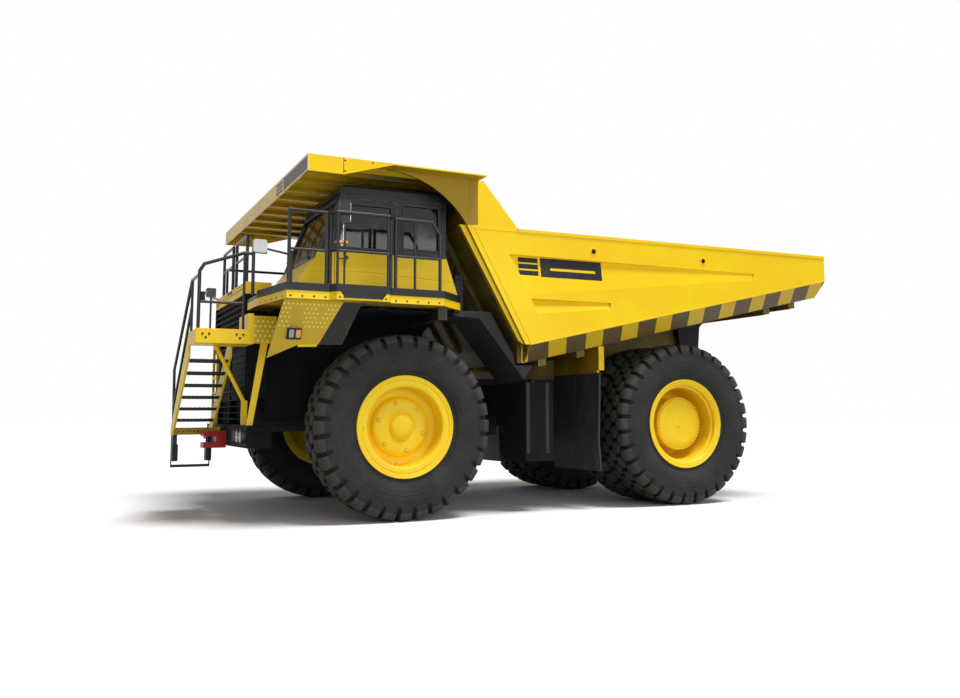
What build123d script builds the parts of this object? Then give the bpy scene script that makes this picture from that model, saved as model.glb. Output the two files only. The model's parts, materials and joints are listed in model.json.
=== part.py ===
from build123d import *
import math
import os

# Rigid-frame mining dump truck. Millimetres, +X forward, +Y to the truck's left, +Z up.
# Every piece is drawn with x measured from the rear axle, y from the middle plane and
# z from the ground. save() then moves it by -X_MID, so the saved truck stands with its
# origin under the middle of its overall length.

# ---- wheels --------------------------------------------------------------------------
WHEELBASE = 4950.0            # rear axle to front axle
TYRE_R = 1330.0               # to the corners of the lugs
TYRE_W = 740.0                # widest part of one tyre
LUG_COUNT = 30                # lugs in each of the two rows
LUG_DEPTH = 72.0
LUG_FILL = 0.60               # share of the pitch that a lug fills
SHOULDER = 35.0               # the tread is narrower than the tyre by this on each side
SIDEWALL = 258.0              # height of the sloped sidewall under the tread
BEAD_R = 622.0                # seat of the tyre on the rim
BEAD_HALF = 290.0             # half the width between the rim's flanges
FLANGE_H = 111.0              # height of the rim's flanges
FLANGE_T = 20.0
RIM_T = 25.0                  # rim barrel wall
BORE_GAP = 3.0                # running gap of the modelled bearings
AXLE_Z = TYRE_R               # the truck stands on its lugs
FLANGE_R = BEAD_R + FLANGE_H
RIM_IN = BEAD_R - RIM_T

# ---- frame ---------------------------------------------------------------------------
RAIL_IN = 380.0               # inner face of a frame rail from the middle plane
RAIL_W = 220.0
RAIL_OVER = 770.0             # rail's top above the axles
RAIL_DEEP = 650.0
RAIL_ARCH = 400.0             # rail's depth over the rear axle
NOSE_DROP = 350.0             # the rails step down by this under the engine
NOSE_DEEP = 500.0
RAIL_TAIL = 1750.0            # rail's end behind the rear axle
RAIL_Y = (RAIL_IN, RAIL_IN + RAIL_W)
RAIL_TOP = AXLE_Z + RAIL_OVER
RAIL_LOW = RAIL_TOP - RAIL_DEEP
NOSE_TOP = RAIL_TOP - NOSE_DROP
NOSE_LOW = NOSE_TOP - NOSE_DEEP
RAIL_REAR = -RAIL_TAIL
TOW_R = 45.0                  # bores of the towing jaws
TOW_HALF = 150.0              # half the width of the front towing jaw

# ---- hoists and the rear pair's place beside them ----------------------------------------
HOIST_OUT = 190.0             # hoist's middle outside the rail
HOIST_GAP = 165.0             # and inside the inner tyre's face
HOIST_R = 105.0               # barrel
HOIST_WALL = 19.0
HOIST_STEP = 3.0              # gap between two stages
FOOT_X = 800.0                # foot pin ahead of the rear axle
FOOT_DROP = 550.0             # and below the rails
HEAD_X = 900.0                # head pin ahead of the rear axle
HEAD_OVER = 400.0             # and above the rails
HOIST_Y = RAIL_Y[1] + HOIST_OUT
HOIST_FOOT = (FOOT_X, RAIL_LOW - FOOT_DROP)
HOIST_HEAD = (HEAD_X, RAIL_TOP + HEAD_OVER)
TWIN_GAP = 110.0              # between the two tyres of a rear pair
TWIN_IN = HOIST_Y + HOIST_GAP
REAR_TYRE_YS = (TWIN_IN + TYRE_W / 2, TWIN_IN + TYRE_W * 1.5 + TWIN_GAP)
TWIN_OUT = REAR_TYRE_YS[1] + TYRE_W / 2

# ---- axles and steering ------------------------------------------------------------------
TUBE_R = 290.0                # rear axle's tube
BANJO_R = 420.0
COVER_R = 440.0               # final drive's cover in the rear wheels
HUB_OVERLAP = 95.0            # the rear hub starts this far inside the inner tyre
FRONT_TYRE_Y = 2162.0         # middle of a front tyre
KINGPIN_IN = 612.0            # kingpin inside the middle of the front tyre
KINGPIN_R = 60.0
SPINDLE_R = 115.0
KNUCKLE_HALF = 140.0
KNUCKLE_DOWN = 325.0          # knuckle's foot below the axle
KNUCKLE_UP = 260.0            # knuckle's head above the axle
FRONT_HUB_IN = 332.0          # front hub's inner face inside the middle of the tyre
ARM_T = 130.0                 # lower arms
WASHER_T = 5.0
STRUT_R = 140.0
STRUT_TOP = 1230.0            # strut's head above the axle
KINGPIN_Y = FRONT_TYRE_Y - KINGPIN_IN
KNUCKLE_Z = (AXLE_Z - KNUCKLE_DOWN, AXLE_Z + KNUCKLE_UP)
HUB_IN_Y = TWIN_IN + HUB_OVERLAP
PAIR_Y = sum(REAR_TYRE_YS) / 2

# ---- deck, hood and cab ------------------------------------------------------------------
DECK_OVER = 1870.0            # walkway above the axles
DECK_T = 160.0
BODY_HALF = 2752.0            # outer face of the load body's side walls
DECK_OUT = 148.0              # deck outside the load body's sides
DECK_AHEAD = 1850.0           # deck's front ahead of the front axle
BAY_OUT = 100.0               # the door's bay stands out of the deck's side by this
CAB_BACK_OFF = 240.0          # cab's front behind the deck's front
CAB_LEN = 2450.0
CAB_W = 1940.0
CAB_WALL = 60.0
WALK_W = 480.0                # walkway beside the cab
CAB_H = 1440.0                # walls, deck to roof slab
ROOF_T = 130.0
WAIST_H = 660.0               # window sills above the deck
HOOD_H = 280.0                # hood above the deck
HOOD_SIDES = (-1432.0, 1111.0)
NOSE_OUT = 185.0              # hood's nose ahead of the deck
GRILLE_H = 760.0              # louvred grille under the hood's nose
RAD_AHEAD = 1700.0            # radiator's back ahead of the front axle
RAIL_R = 24.0                 # handrail tubes
RAIL_H = 1040.0               # handrails above the deck
DECK_HALF = BODY_HALF + DECK_OUT
DECK_TOP = AXLE_Z + DECK_OVER
DECK_LOW = DECK_TOP - DECK_T
DECK_FRONT = WHEELBASE + DECK_AHEAD
CAB_FRONT = DECK_FRONT - CAB_BACK_OFF
CAB_REAR = CAB_FRONT - CAB_LEN
DECK_REAR = CAB_REAR - 10.0
CAB_Y = (DECK_HALF - WALK_W - CAB_W, DECK_HALF - WALK_W)
ROOF_LOW = DECK_TOP + CAB_H
ROOF_TOP = ROOF_LOW + ROOF_T
WAIST_Z = DECK_TOP + WAIST_H
HOOD_TOP = DECK_TOP + HOOD_H
HOOD_FRONT = DECK_FRONT + NOSE_OUT
NOSE_X = DECK_FRONT - 200.0       # back of the hood's nose
NOSE_Z = DECK_TOP + 100.0         # underside of the hood's nose
RAIL_FRONT = HOOD_FRONT - 225.0

# ---- load body ---------------------------------------------------------------------------
TAIL_X = -3015.0              # rear end of the load body
BODY_BACK_OFF = 90.0          # body's top front corner behind the cab's foot
HEAD_LEAN = 969.0             # the front wall leans forward by this
FLOOR_OVER = 176.0            # floor's front edge above the rails
FLOOR_T = 60.0
FLOOR_RISE = math.radians(12.3)   # the floor rises towards the tail
SKIRT_IN = 264.0              # the underside band runs inwards by this
SKIRT_DOWN = 265.0            # and down by this to the floor
SIDE_H = 1749.0               # side wall at its front
TAIL_LIFT = 34.0              # the top edge rises by this to the tail
WALL_T = 120.0                # hollow side walls, outer plate to inner plate
HEAD_T = 110.0                # front wall
HEAD_RIB = 90.0               # ribs on the front wall
WING_BACK = 744.0             # the wing's foot behind the wall's front corner
BAND_H = 397.0                # top band of a side wall
RECESS = 85.0                 # deepest point of the pressed recesses
LIP = 45.0                    # height of the lip along the top edge
LIP_OUT = 14.0
PLATE = 20.0
SIDE_FRONT_X = CAB_REAR - BODY_BACK_OFF
SIDE_LOW_X = SIDE_FRONT_X - HEAD_LEAN
FLOOR_LOW = RAIL_TOP + FLOOR_OVER
SIDE_LOW_Z = FLOOR_LOW + SKIRT_DOWN
BODY_TOP = SIDE_LOW_Z + SIDE_H
WING_X = SIDE_FRONT_X - WING_BACK
HEAD_X_OUT = SIDE_FRONT_X + HEAD_T
CANOPY_CLEAR = 215.0          # canopy's top above the cab's roof
CANOPY_OUT = 276.0            # canopy outside the side walls
CANOPY_AHEAD = 1635.0         # canopy's front ahead of the front axle
CANOPY_RIB = 90.0
CANOPY_RIB_PITCH = 600.0
FLANGE_DEEP = 234.0           # canopy's front and side flange
GUSSET_LEN = 1239.0           # side gusset ahead of the front wall
CANOPY_TOP = ROOF_TOP + CANOPY_CLEAR
CANOPY_LOW = CANOPY_TOP - PLATE
CANOPY_HALF = BODY_HALF + CANOPY_OUT
CANOPY_FRONT = WHEELBASE + CANOPY_AHEAD
CANOPY_REAR = SIDE_FRONT_X - 90.0

# ---- dump hinge --------------------------------------------------------------------------
HINGE_BACK = 1500.0           # hinge behind the rear axle
HINGE_OVER = 250.0            # and above the rails
HINGE_PIN_R = 70.0
LUG_T = 120.0
HINGE_X = -HINGE_BACK
HINGE_Z = RAIL_TOP + HINGE_OVER

# ---- bumper, landing and stair -----------------------------------------------------------
BUMPER_D = 270.0
BUMPER_HALF = 1700.0
BUMPER_DOWN = 285.0           # bumper's underside below the axles
BUMPER_H = 320.0
STAIR_GAP = 130.0             # stair ahead of the bumper
STAIR_W = 607.0
STAIR_PLATE = 30.0
TREADS = 7
TREAD_HALF = 110.0
STAIR_TOW = 250.0             # the stair's foot beside the towing jaw
LAND_W = 650.0
LAND_T = 190.0
LAND_DROP = 510.0             # landing below the deck
LAND_GAP = 39.0               # landing beside the hood
BUMPER_X = (RAIL_FRONT, RAIL_FRONT + BUMPER_D)
BUMPER_Z = (AXLE_Z - BUMPER_DOWN, AXLE_Z - BUMPER_DOWN + BUMPER_H)
STAIR_X = (BUMPER_X[1] + STAIR_GAP, BUMPER_X[1] + STAIR_GAP + STAIR_W)
FRONT_X = STAIR_X[1]
LAND_Y = (HOOD_SIDES[1] + LAND_GAP, HOOD_SIDES[1] + LAND_GAP + LAND_W)
LAND_X = (HOOD_FRONT + 83.0, FRONT_X)
LAND_Z = (DECK_TOP - LAND_DROP - LAND_T, DECK_TOP - LAND_DROP)
STAIR_FOOT = (-TOW_HALF - STAIR_TOW, BUMPER_Z[1] - 99.0)   # y, z of the lowest tread
STAIR_HEAD = (LAND_Y[0], LAND_Z[1] - 214.0)                # y, z above the highest tread
X_MID = (TAIL_X + FRONT_X) / 2

# ---- guards ------------------------------------------------------------------------------
FLAP_GAP = 334.0              # mud flaps ahead of the rear tyres
FLAP_T = 32.0
FLAP_FOOT = 600.0             # flaps end this far above the ground
FENDER_IN = 302.0             # mudguards inside the body's side
FENDER_Y = (KINGPIN_Y - 50, BODY_HALF - FENDER_IN)
PANEL_LEAN = 0.43             # lamp panels run inwards by this per height
PANEL_T = 40.0
PANEL_IN = 150.0              # lamp panels inside the deck's side
DOOR_W = 930.0


# ---- helpers -------------------------------------------------------------------------
def block(x, y, z):
    """Box from three (low, high) pairs."""
    size = [hi - lo for lo, hi in (x, y, z)]
    mid = [(hi + lo) / 2 for lo, hi in (x, y, z)]
    return Pos(*mid) * Box(*size)


def slab_y(points, y0, y1):
    """Outline of (x, z) points, thick from y0 to y1."""
    face = make_face(Polyline(*[(x, y0, z) for x, z in points], close=True))
    return extrude(face, y1 - y0, dir=(0, 1, 0))


def slab_x(points, x0, x1):
    """Outline of (y, z) points, thick from x0 to x1."""
    face = make_face(Polyline(*[(x0, y, z) for y, z in points], close=True))
    return extrude(face, x1 - x0, dir=(1, 0, 0))


def slab_z(points, z0, z1):
    """Outline of (x, y) points, thick from z0 to z1."""
    face = make_face(Polyline(*[(x, y, z0) for x, y in points], close=True))
    return extrude(face, z1 - z0, dir=(0, 0, 1))


def disc(plane, r, length, bore=0.0):
    """Cylinder on a plane, with a hole when a bore is given."""
    face = plane * Circle(r)
    if bore:
        face = face - plane * Circle(bore)
    return extrude(face, length)


def drum(r, x, z, y0, y1, bore=0.0):
    """Cylinder along Y."""
    plane = Plane(origin=(x, y0, z), x_dir=(1, 0, 0), z_dir=(0, 1, 0))
    return disc(plane, r, y1 - y0, bore)


def post(r, x, y, z0, z1, bore=0.0):
    """Cylinder along Z."""
    return disc(Plane(origin=(x, y, z0)), r, z1 - z0, bore)


def shaft(r, y, z, x0, x1):
    """Cylinder along X."""
    return disc(Plane(origin=(x0, y, z), z_dir=(1, 0, 0)), r, x1 - x0)


def rod(r, a, b):
    """Round bar from point a to point b."""
    a, b = Vector(*a), Vector(*b)
    axis = b - a
    return disc(Plane(origin=a, z_dir=axis), r, axis.length)


def bent_tube(r, points):
    """Round tube along a chain of points, mitred at the corners."""
    first = Vector(*points[1]) - Vector(*points[0])
    section = Plane(origin=points[0], z_dir=first) * Circle(r)
    return sweep(section, path=Polyline(*points), transition=Transition.RIGHT)


def flip(shape):
    """Mirror image across the middle plane."""
    return mirror(shape, about=Plane.XZ)


def both_sides(shape):
    """The piece and its mirror image."""
    return shape + flip(shape)


def skirt_z(x):
    """Height of a side wall's lower edge at x."""
    return SIDE_LOW_Z + (SIDE_LOW_X - x) * math.tan(FLOOR_RISE)


def floor_z(x):
    """Height of the floor's underside at x."""
    return skirt_z(x) - SKIRT_DOWN


def head_x(z):
    """Inner face of the leaning front wall at height z."""
    return SIDE_LOW_X + HEAD_LEAN * (z - SIDE_LOW_Z) / SIDE_H


def save(shape, name):
    """Write one piece, moved to the truck's origin."""
    export_step(Pos(-X_MID, 0, 0) * shape, "parts/" + name + ".step")


# ---- wheels --------------------------------------------------------------------------
def ring_face(y, r):
    """Regular polygon across the tyre at y, with its corners at r."""
    plane = Plane(origin=(0, y, 0), x_dir=(1, 0, 0), z_dir=(0, 1, 0))
    return plane * RegularPolygon(r, LUG_COUNT)


def tyre():
    """Tyre about the Y axis, with two staggered rows of lugs."""
    tread_r = TYRE_R - LUG_DEPTH
    edge_r = tread_r - SIDEWALL
    half = TYRE_W / 2
    # rings of the carcass: (y, corner radius)
    rings = ((-half, edge_r), (SHOULDER - half, tread_r), (half - SHOULDER, tread_r), (half, edge_r))
    body = loft([ring_face(y, r) for y, r in rings], ruled=True)
    for side in (-1, 1):
        dish = (ring_face(side * half, edge_r), ring_face(side * BEAD_HALF, FLANGE_R + 8.0))
        body -= loft(list(dish), ruled=True)
    pitch = 360.0 / LUG_COUNT
    half_angle = pitch * LUG_FILL / 2
    half_w = TYRE_R * math.sin(math.radians(half_angle))
    top = TYRE_R * math.cos(math.radians(half_angle))
    low = tread_r * math.cos(math.radians(pitch / 2)) - 12.0
    lugs = []
    for side, turn in ((1, half_angle), (-1, half_angle + pitch / 2)):
        ys = sorted((side * 25.0, side * (half - SHOULDER / 2)))
        lug = block((-half_w, half_w), ys, (-top, -low))
        lugs += [Rot(0, turn + pitch * i, 0) * lug for i in range(LUG_COUNT)]
    body = body + lugs
    return body - drum(BEAD_R, 0, 0, -TYRE_W, TYRE_W)


def rim_barrel(y_mid):
    """Rim barrel with its two flanges, about the Y axis."""
    lo, hi = y_mid - BEAD_HALF, y_mid + BEAD_HALF
    barrel = drum(BEAD_R, 0, 0, lo - FLANGE_T, hi + FLANGE_T, bore=RIM_IN)
    for y0 in (lo - FLANGE_T, hi):
        barrel += drum(FLANGE_R, 0, 0, y0, y0 + FLANGE_T, bore=RIM_IN)
    return barrel


def front_rim():
    """Front rim with its dished disc, hub and hub cap, about the Y axis."""
    web_y = FRONT_TYRE_Y + 40.0
    hub_r = SPINDLE_R + 145.0
    hub = drum(hub_r, 0, 0, FRONT_TYRE_Y - FRONT_HUB_IN, web_y + PLATE, bore=SPINDLE_R + BORE_GAP)
    web = drum(RIM_IN, 0, 0, web_y, web_y + PLATE, bore=hub_r - 60.0)
    cap = drum(hub_r - 70.0, 0, 0, web_y + PLATE, web_y + 120)
    return rim_barrel(FRONT_TYRE_Y) + web + hub + cap


def rear_rims():
    """Both rims of a rear pair on one hub, with the final drive's cover."""
    y_in, y_out = REAR_TYRE_YS
    rims = rim_barrel(y_in) + rim_barrel(y_out)
    rims += drum(BEAD_R, 0, 0, y_in + BEAD_HALF, y_out - BEAD_HALF, bore=RIM_IN)
    hub = drum(COVER_R, 0, 0, HUB_IN_Y, PAIR_Y, bore=TUBE_R + BORE_GAP)
    web = drum(RIM_IN, 0, 0, PAIR_Y - 2 * PLATE, PAIR_Y, bore=COVER_R - 10.0)
    cover = drum(COVER_R, 0, 0, PAIR_Y, y_out + 125.0)
    return rims + hub + web + cover


def save_wheels():
    """Tyres, rims and their hubs, each side its own pieces."""
    one = tyre()
    rims = (("front_rim_", front_rim(), WHEELBASE), ("rear_rims_", rear_rims(), 0.0))
    for side, name in ((1, "left"), (-1, "right")):
        save(Pos(WHEELBASE, side * FRONT_TYRE_Y, AXLE_Z) * one, "front_tyre_" + name)
        pair = [Pos(0, side * y, AXLE_Z) * one for y in REAR_TYRE_YS]
        save(Compound(pair), "rear_tyres_" + name)
        for label, shape, x in rims:
            turned = shape if side > 0 else flip(shape)
            save(Pos(x, 0, AXLE_Z) * turned, label + name)


# ---- frame and running gear ------------------------------------------------------------
def frame_rails():
    """Two box rails, arched over the rear axle and stepped down under the engine."""
    outline = (
        (RAIL_REAR, RAIL_TOP - RAIL_ARCH), (RAIL_REAR, RAIL_TOP), (WHEELBASE - 550, RAIL_TOP),
        (WHEELBASE - 250, NOSE_TOP), (RAIL_FRONT, NOSE_TOP), (RAIL_FRONT, NOSE_LOW),
        (WHEELBASE - 650, NOSE_LOW), (WHEELBASE - 1050, RAIL_LOW), (TYRE_R, RAIL_LOW),
        (TYRE_R - 380, RAIL_TOP - RAIL_ARCH),
    )
    return both_sides(slab_y(outline, *RAIL_Y))


def cross_beams():
    """Beams between the rails and slung under them."""
    inner = (-RAIL_Y[0], RAIL_Y[0])
    frame = []
    # between the rails: (x0, length, z0, z1)
    for x0, length, z0, z1 in (
        (RAIL_FRONT - 260, 200, NOSE_LOW + 50, NOSE_TOP - 250),
        (WHEELBASE + 250, 250, NOSE_LOW, RAIL_LOW),
        (WHEELBASE - 1000, 200, RAIL_LOW + 50, RAIL_TOP - 200),
        (600, 200, RAIL_TOP - 350, RAIL_TOP - 50),
        (-700, 200, RAIL_TOP - RAIL_ARCH, RAIL_TOP - 50),
        (RAIL_REAR + 50, 300, RAIL_TOP - 350, RAIL_TOP - 50),
    ):
        frame.append(block((x0, x0 + length), inner, (z0, z1)))
    # slung under the rails: (x0, length, z0, z1)
    for x0, length, z0, z1 in (
        (WHEELBASE - 2350, 250, RAIL_LOW - 300, RAIL_LOW - 150),
        (LINK_X, 200, AXLE_Z - 230, AXLE_Z - 30),
    ):
        sling = block((x0, x0 + length), (-RAIL_Y[1], RAIL_Y[1]), (z0, z1))
        frame.append(sling + both_sides(block((x0, x0 + length), RAIL_Y, (z1, RAIL_LOW))))
    return Compound(frame)


LINK_X = TYRE_R + 370.0       # front end of the rear axle's link
NOSE_END = 620.0              # pinion nose ahead of the rear axle
SHELF_Z = (AXLE_Z - 270.0, AXLE_Z - 180.0)
STRUT_X = -590.0


def rear_axle():
    """Banjo, tubes, pinion nose and the link that locates the axle."""
    tube_y = PAIR_Y - 35.0
    axle = drum(BANJO_R, 0, AXLE_Z, -RAIL_IN + 40, RAIL_IN - 40)
    axle += drum(TUBE_R, 0, AXLE_Z, -tube_y, tube_y)
    axle += both_sides(drum(TUBE_R + 55, 0, AXLE_Z, HUB_IN_Y - 90, HUB_IN_Y))
    nose = shaft(150, 0, AXLE_Z + 70, 300, NOSE_END)
    link = block((300, LINK_X), (-120, 120), (AXLE_Z - 210, AXLE_Z - 40))
    shelf = block((STRUT_X - 110, 0), (-330, 330), SHELF_Z)
    return axle + nose + link + shelf


def rear_struts():
    """Two upright suspension struts between the axle and the frame."""
    split = AXLE_Z + 150
    one = post(105, STRUT_X, 250, SHELF_Z[1], split)
    one += post(75, STRUT_X, 250, split, RAIL_TOP - RAIL_ARCH)
    return both_sides(one)


def front_arms():
    """Front cross beam and the two lower arms with their upright pins."""
    top = KNUCKLE_Z[0] - WASHER_T
    low = top - ARM_T
    x = WHEELBASE
    beam = block((x - 170, x + 170), (-RAIL_Y[1], RAIL_Y[1]), (low, NOSE_LOW))
    tip = KINGPIN_Y + 110
    arm = slab_z([(x - 150, RAIL_Y[1]), (x + 150, RAIL_Y[1]), (x + 100, tip), (x - 100, tip)], low, top)
    pin = post(KINGPIN_R, x, KINGPIN_Y, top, top + 120)
    washer = post(KINGPIN_R + 40, x, KINGPIN_Y, top, top + WASHER_T)
    return beam + both_sides(arm + pin + washer)


def front_struts():
    """Upright strut barrels over the kingpins, held by towers on the rails."""
    x = WHEELBASE
    low = KNUCKLE_Z[1] + 10
    head = AXLE_Z + STRUT_TOP
    barrel = post(STRUT_R, x, KINGPIN_Y, low, head)
    pin = post(KINGPIN_R, x, KINGPIN_Y, low - 120, low)
    arm = block((x - 100, x + 100), (RAIL_Y[1], KINGPIN_Y), (head - 380, head - 140))
    foot = block((x - 200, x + 200), RAIL_Y, (NOSE_TOP, head - 140))
    return both_sides(barrel + pin + arm + foot)


def knuckle():
    """Left steering knuckle with its spindle and steering arm."""
    x, y, half = WHEELBASE, KINGPIN_Y, KNUCKLE_HALF
    z0, z1 = KNUCKLE_Z
    hub = block((x - half, x + half), (y - half, y + half), (z0, z1))
    for lo, hi in ((z0, z0 + 125), (z1 - 120, z1)):
        hub -= post(KINGPIN_R + BORE_GAP, x, y, lo, hi)
    spindle = drum(SPINDLE_R, x, AXLE_Z, y + half, FRONT_TYRE_Y + 55)
    collar = drum(SPINDLE_R + 35, x, AXLE_Z, y + half, FRONT_TYRE_Y - FRONT_HUB_IN)
    arm = block((x - half - 380, x - half), (y - half, y - half + 80), (z0 + 145, z0 + 205))
    return hub + spindle + collar + arm


def hinge_brackets():
    """Brackets on the frame's tail with the dump hinge's pins."""
    y = RAIL_Y[1]
    cheek = block((HINGE_X - 200, HINGE_X + 200), RAIL_Y, (RAIL_TOP, HINGE_Z))
    cheek += drum(HINGE_PIN_R + 80, HINGE_X, HINGE_Z, *RAIL_Y)
    pin = drum(HINGE_PIN_R, HINGE_X, HINGE_Z, y, y + PLATE + LUG_T + 20)
    cap = drum(HINGE_PIN_R + 35, HINGE_X, HINGE_Z, y + PLATE + LUG_T, y + PLATE + LUG_T + 25)
    return both_sides(cheek + pin + cap)


def bumper():
    """Front bumper beam with its end boxes."""
    beam = block(BUMPER_X, (-BUMPER_HALF, BUMPER_HALF), BUMPER_Z)
    end = block((BUMPER_X[0] - 80, BUMPER_X[0]), (1200, BUMPER_HALF), (BUMPER_Z[0], BUMPER_Z[1] - 65))
    lug = block((BUMPER_X[0] + 60, BUMPER_X[1] - 60), (BUMPER_HALF, BUMPER_HALF + 60),
                (BUMPER_Z[1] - 110, BUMPER_Z[1] - 30))
    return beam + both_sides(end + lug)


def tow_block():
    """Front tow clevis with an upright pin bore."""
    x, half = BUMPER_X[1], TOW_HALF
    z0, z1 = BUMPER_Z[0] - 35, BUMPER_Z[1] - 95
    jaw = block((x, x + 336), (-half, half), (z0, z1))
    jaw -= block((x + 150, x + 370), (-half - 50, half + 50), (z0 + 85, z1 - 85))
    return jaw - post(TOW_R, x + 240, 0, z0 - 50, z1 + 50)


def rear_hitch():
    """Rear towing jaw on the frame's last beam, with an upright pin bore."""
    x, z = RAIL_REAR, RAIL_TOP - 320
    jaw = block((x - 190, x + 50), (-130, 130), (z, z + 220))
    jaw -= block((x - 200, x - 40), (-140, 140), (z + 70, z + 150))
    return jaw - post(TOW_R, x - 110, 0, z - 80, z + 300)


def engine():
    """Engine as one plain block between the rails."""
    half = RAIL_Y[0] - PLATE
    return block((WHEELBASE - 450, WHEELBASE + 1400), (-half, half), (RAIL_LOW, RAIL_LOW + 1000))


def transmission():
    """Gearbox on its cross beam, with the shaft to the rear axle."""
    x0 = WHEELBASE - 2650
    box = block((x0, x0 + 1200), (-330, 330), (RAIL_LOW - 150, RAIL_TOP - 150))
    return box + shaft(70, 0, AXLE_Z + 70, NOSE_END, x0)


def tanks():
    """Oil tank on the left rail and fuel tank on the right rail."""
    seat = RAIL_LOW + 10
    tops = []
    # side, x0, length, y of the narrower lower half's inner face
    for x0, length, y_low in ((WHEELBASE - 2510, 488, 1500), (WHEELBASE - 2650, 950, 1300)):
        x = (x0, x0 + length)
        tank = block(x, (RAIL_Y[1], 2300), (seat, RAIL_TOP - 110))
        tops.append(tank + block(x, (y_low, 2300), (seat - 680, seat)))
    return tops[0], flip(tops[1])


# ---- load body -------------------------------------------------------------------------
def wedge(front_top, front_low, rear_top, rear_low):
    """Cutter for a recess, RECESS deep along its top edge and running out below."""
    share = (rear_top[1] - rear_low[1]) / (front_top[1] - front_low[1])
    faces = []
    for top, low, depth in ((front_top, front_low, RECESS), (rear_top, rear_low, RECESS * share)):
        points = [(top[0], BODY_HALF - depth, top[1]), (top[0], BODY_HALF + 1, top[1]),
                  (low[0], BODY_HALF + 1, low[1])]
        faces.append(make_face(Polyline(*points, close=True)))
    return loft(faces, ruled=True)


def body_sides():
    """Thick side walls: pressed wedge recesses, top lip and the sloped underside."""
    outline = [
        (SIDE_LOW_X, SIDE_LOW_Z), (SIDE_FRONT_X, BODY_TOP), (WING_X, BODY_TOP),
        (TAIL_X, BODY_TOP + TAIL_LIFT), (TAIL_X, skirt_z(TAIL_X)),
    ]
    wall = slab_y(outline, BODY_HALF - WALL_T, BODY_HALF)
    f, top = SIDE_FRONT_X, BODY_TOP
    # recesses: front top, front low, rear top, rear low
    for corners in (
        ((f - 590, top - BAND_H), (f - 960, top - 1000), (TAIL_X + 1677, top - BAND_H),
         (TAIL_X + 1712, top - BAND_H - 119)),
        ((f - 958, top - 1050), (f - 1075, top - 1280), (f - 2392, top - 1050), (f - 2380, top - 1150)),
    ):
        wall -= wedge(*corners)
    lip = [
        (WING_X, top), (TAIL_X, top + TAIL_LIFT), (TAIL_X, top + TAIL_LIFT - LIP), (WING_X, top - LIP),
    ]
    wall += slab_y(lip, BODY_HALF, BODY_HALF + LIP_OUT)
    for x in (f - 2088, f - 4261):
        wall -= drum(40, x, top - 247, BODY_HALF - 60, BODY_HALF + 1)
    return both_sides(wall + skirt_band())


def skirt_band():
    """Sloped underside band of the left side wall, down to the floor's edge."""
    y0, y1 = BODY_HALF, BODY_HALF - SKIRT_IN
    faces = []
    for x in (TAIL_X, SIDE_LOW_X):
        z, low = skirt_z(x), floor_z(x)
        points = [
            (x, y0, z), (x, y1, low), (x, y1 - FLOOR_T, low), (x, y1 - FLOOR_T, low + FLOOR_T),
            (x, y0 - WALL_T, z),
        ]
        faces.append(make_face(Polyline(*points, close=True)))
    return loft(faces, ruled=True)


def body_floor():
    """Floor plate with cross ribs, two long sills over the frame and the hoists' ears."""
    half = BODY_HALF - SKIRT_IN - FLOOR_T
    x0, x1 = TAIL_X, SIDE_LOW_X
    floor = slab_y([(x1, floor_z(x1)), (x0, floor_z(x0)), (x0, floor_z(x0) + FLOOR_T),
                    (x1, floor_z(x1) + FLOOR_T)], -half, half)
    seat = RAIL_TOP + 6
    sill = [
        (x1, floor_z(x1)), (HINGE_X - 450, floor_z(HINGE_X - 450)),
        (HINGE_X - 450, floor_z(HINGE_X - 450) - 120), (HINGE_X + 250, HINGE_Z + 170),
        (HINGE_X + 900, seat), (x1, seat),
    ]
    floor += both_sides(slab_y(sill, RAIL_Y[0] + PLATE, RAIL_Y[1] - PLATE))
    hx, hz = HOIST_HEAD
    for y0 in (HOIST_Y - 90, HOIST_Y + 65):
        ear = [(hx - 160, floor_z(hx - 160)), (hx - 90, hz), (hx + 90, hz), (hx + 160, floor_z(hx + 160))]
        floor += both_sides(slab_y(ear, y0, y0 + 25) + drum(90, hx, hz, y0, y0 + 25))
    for x in (x1 - 350, TYRE_R + FLAP_GAP + 337, x0 + 1115, x0 + 515):
        rib = [(x - 70, floor_z(x - 70)), (x + 70, floor_z(x + 70)),
               (x + 70, floor_z(x + 70) - 110), (x - 70, floor_z(x - 70) - 110)]
        floor += both_sides(slab_y(rib, RAIL_Y[1] - PLATE, half))
    return floor


def headboard():
    """Leaning front wall with its ribs, and the upright wings beside the canopy."""
    f, top = SIDE_FRONT_X, BODY_TOP
    outline = [
        (SIDE_LOW_X, SIDE_LOW_Z), (SIDE_LOW_X + HEAD_T, SIDE_LOW_Z), (HEAD_X_OUT, top),
        (HEAD_X_OUT, CANOPY_LOW), (f, CANOPY_LOW), (f, top),
    ]
    board = slab_y(outline, -BODY_HALF, BODY_HALF)
    half = BODY_HALF - SKIRT_IN
    board += block((SIDE_LOW_X, SIDE_LOW_X + HEAD_T), (-half, half), (FLOOR_LOW, SIDE_LOW_Z))
    wing = [(f, top), (WING_X, top), (f - 168, CANOPY_LOW), (f, CANOPY_LOW)]
    board += both_sides(slab_y(wing, BODY_HALF - FLOOR_T, BODY_HALF))
    x, z = SIDE_LOW_X + HEAD_T, SIDE_LOW_Z
    rib = [(x, z), (x + HEAD_RIB, z + 60), (HEAD_X_OUT + HEAD_RIB, top), (HEAD_X_OUT, top)]
    for y in (300.0, 1100.0, 1900.0, BODY_HALF - 100.0):
        board += both_sides(slab_y(rib, y - 40, y + 40))
    return board


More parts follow.
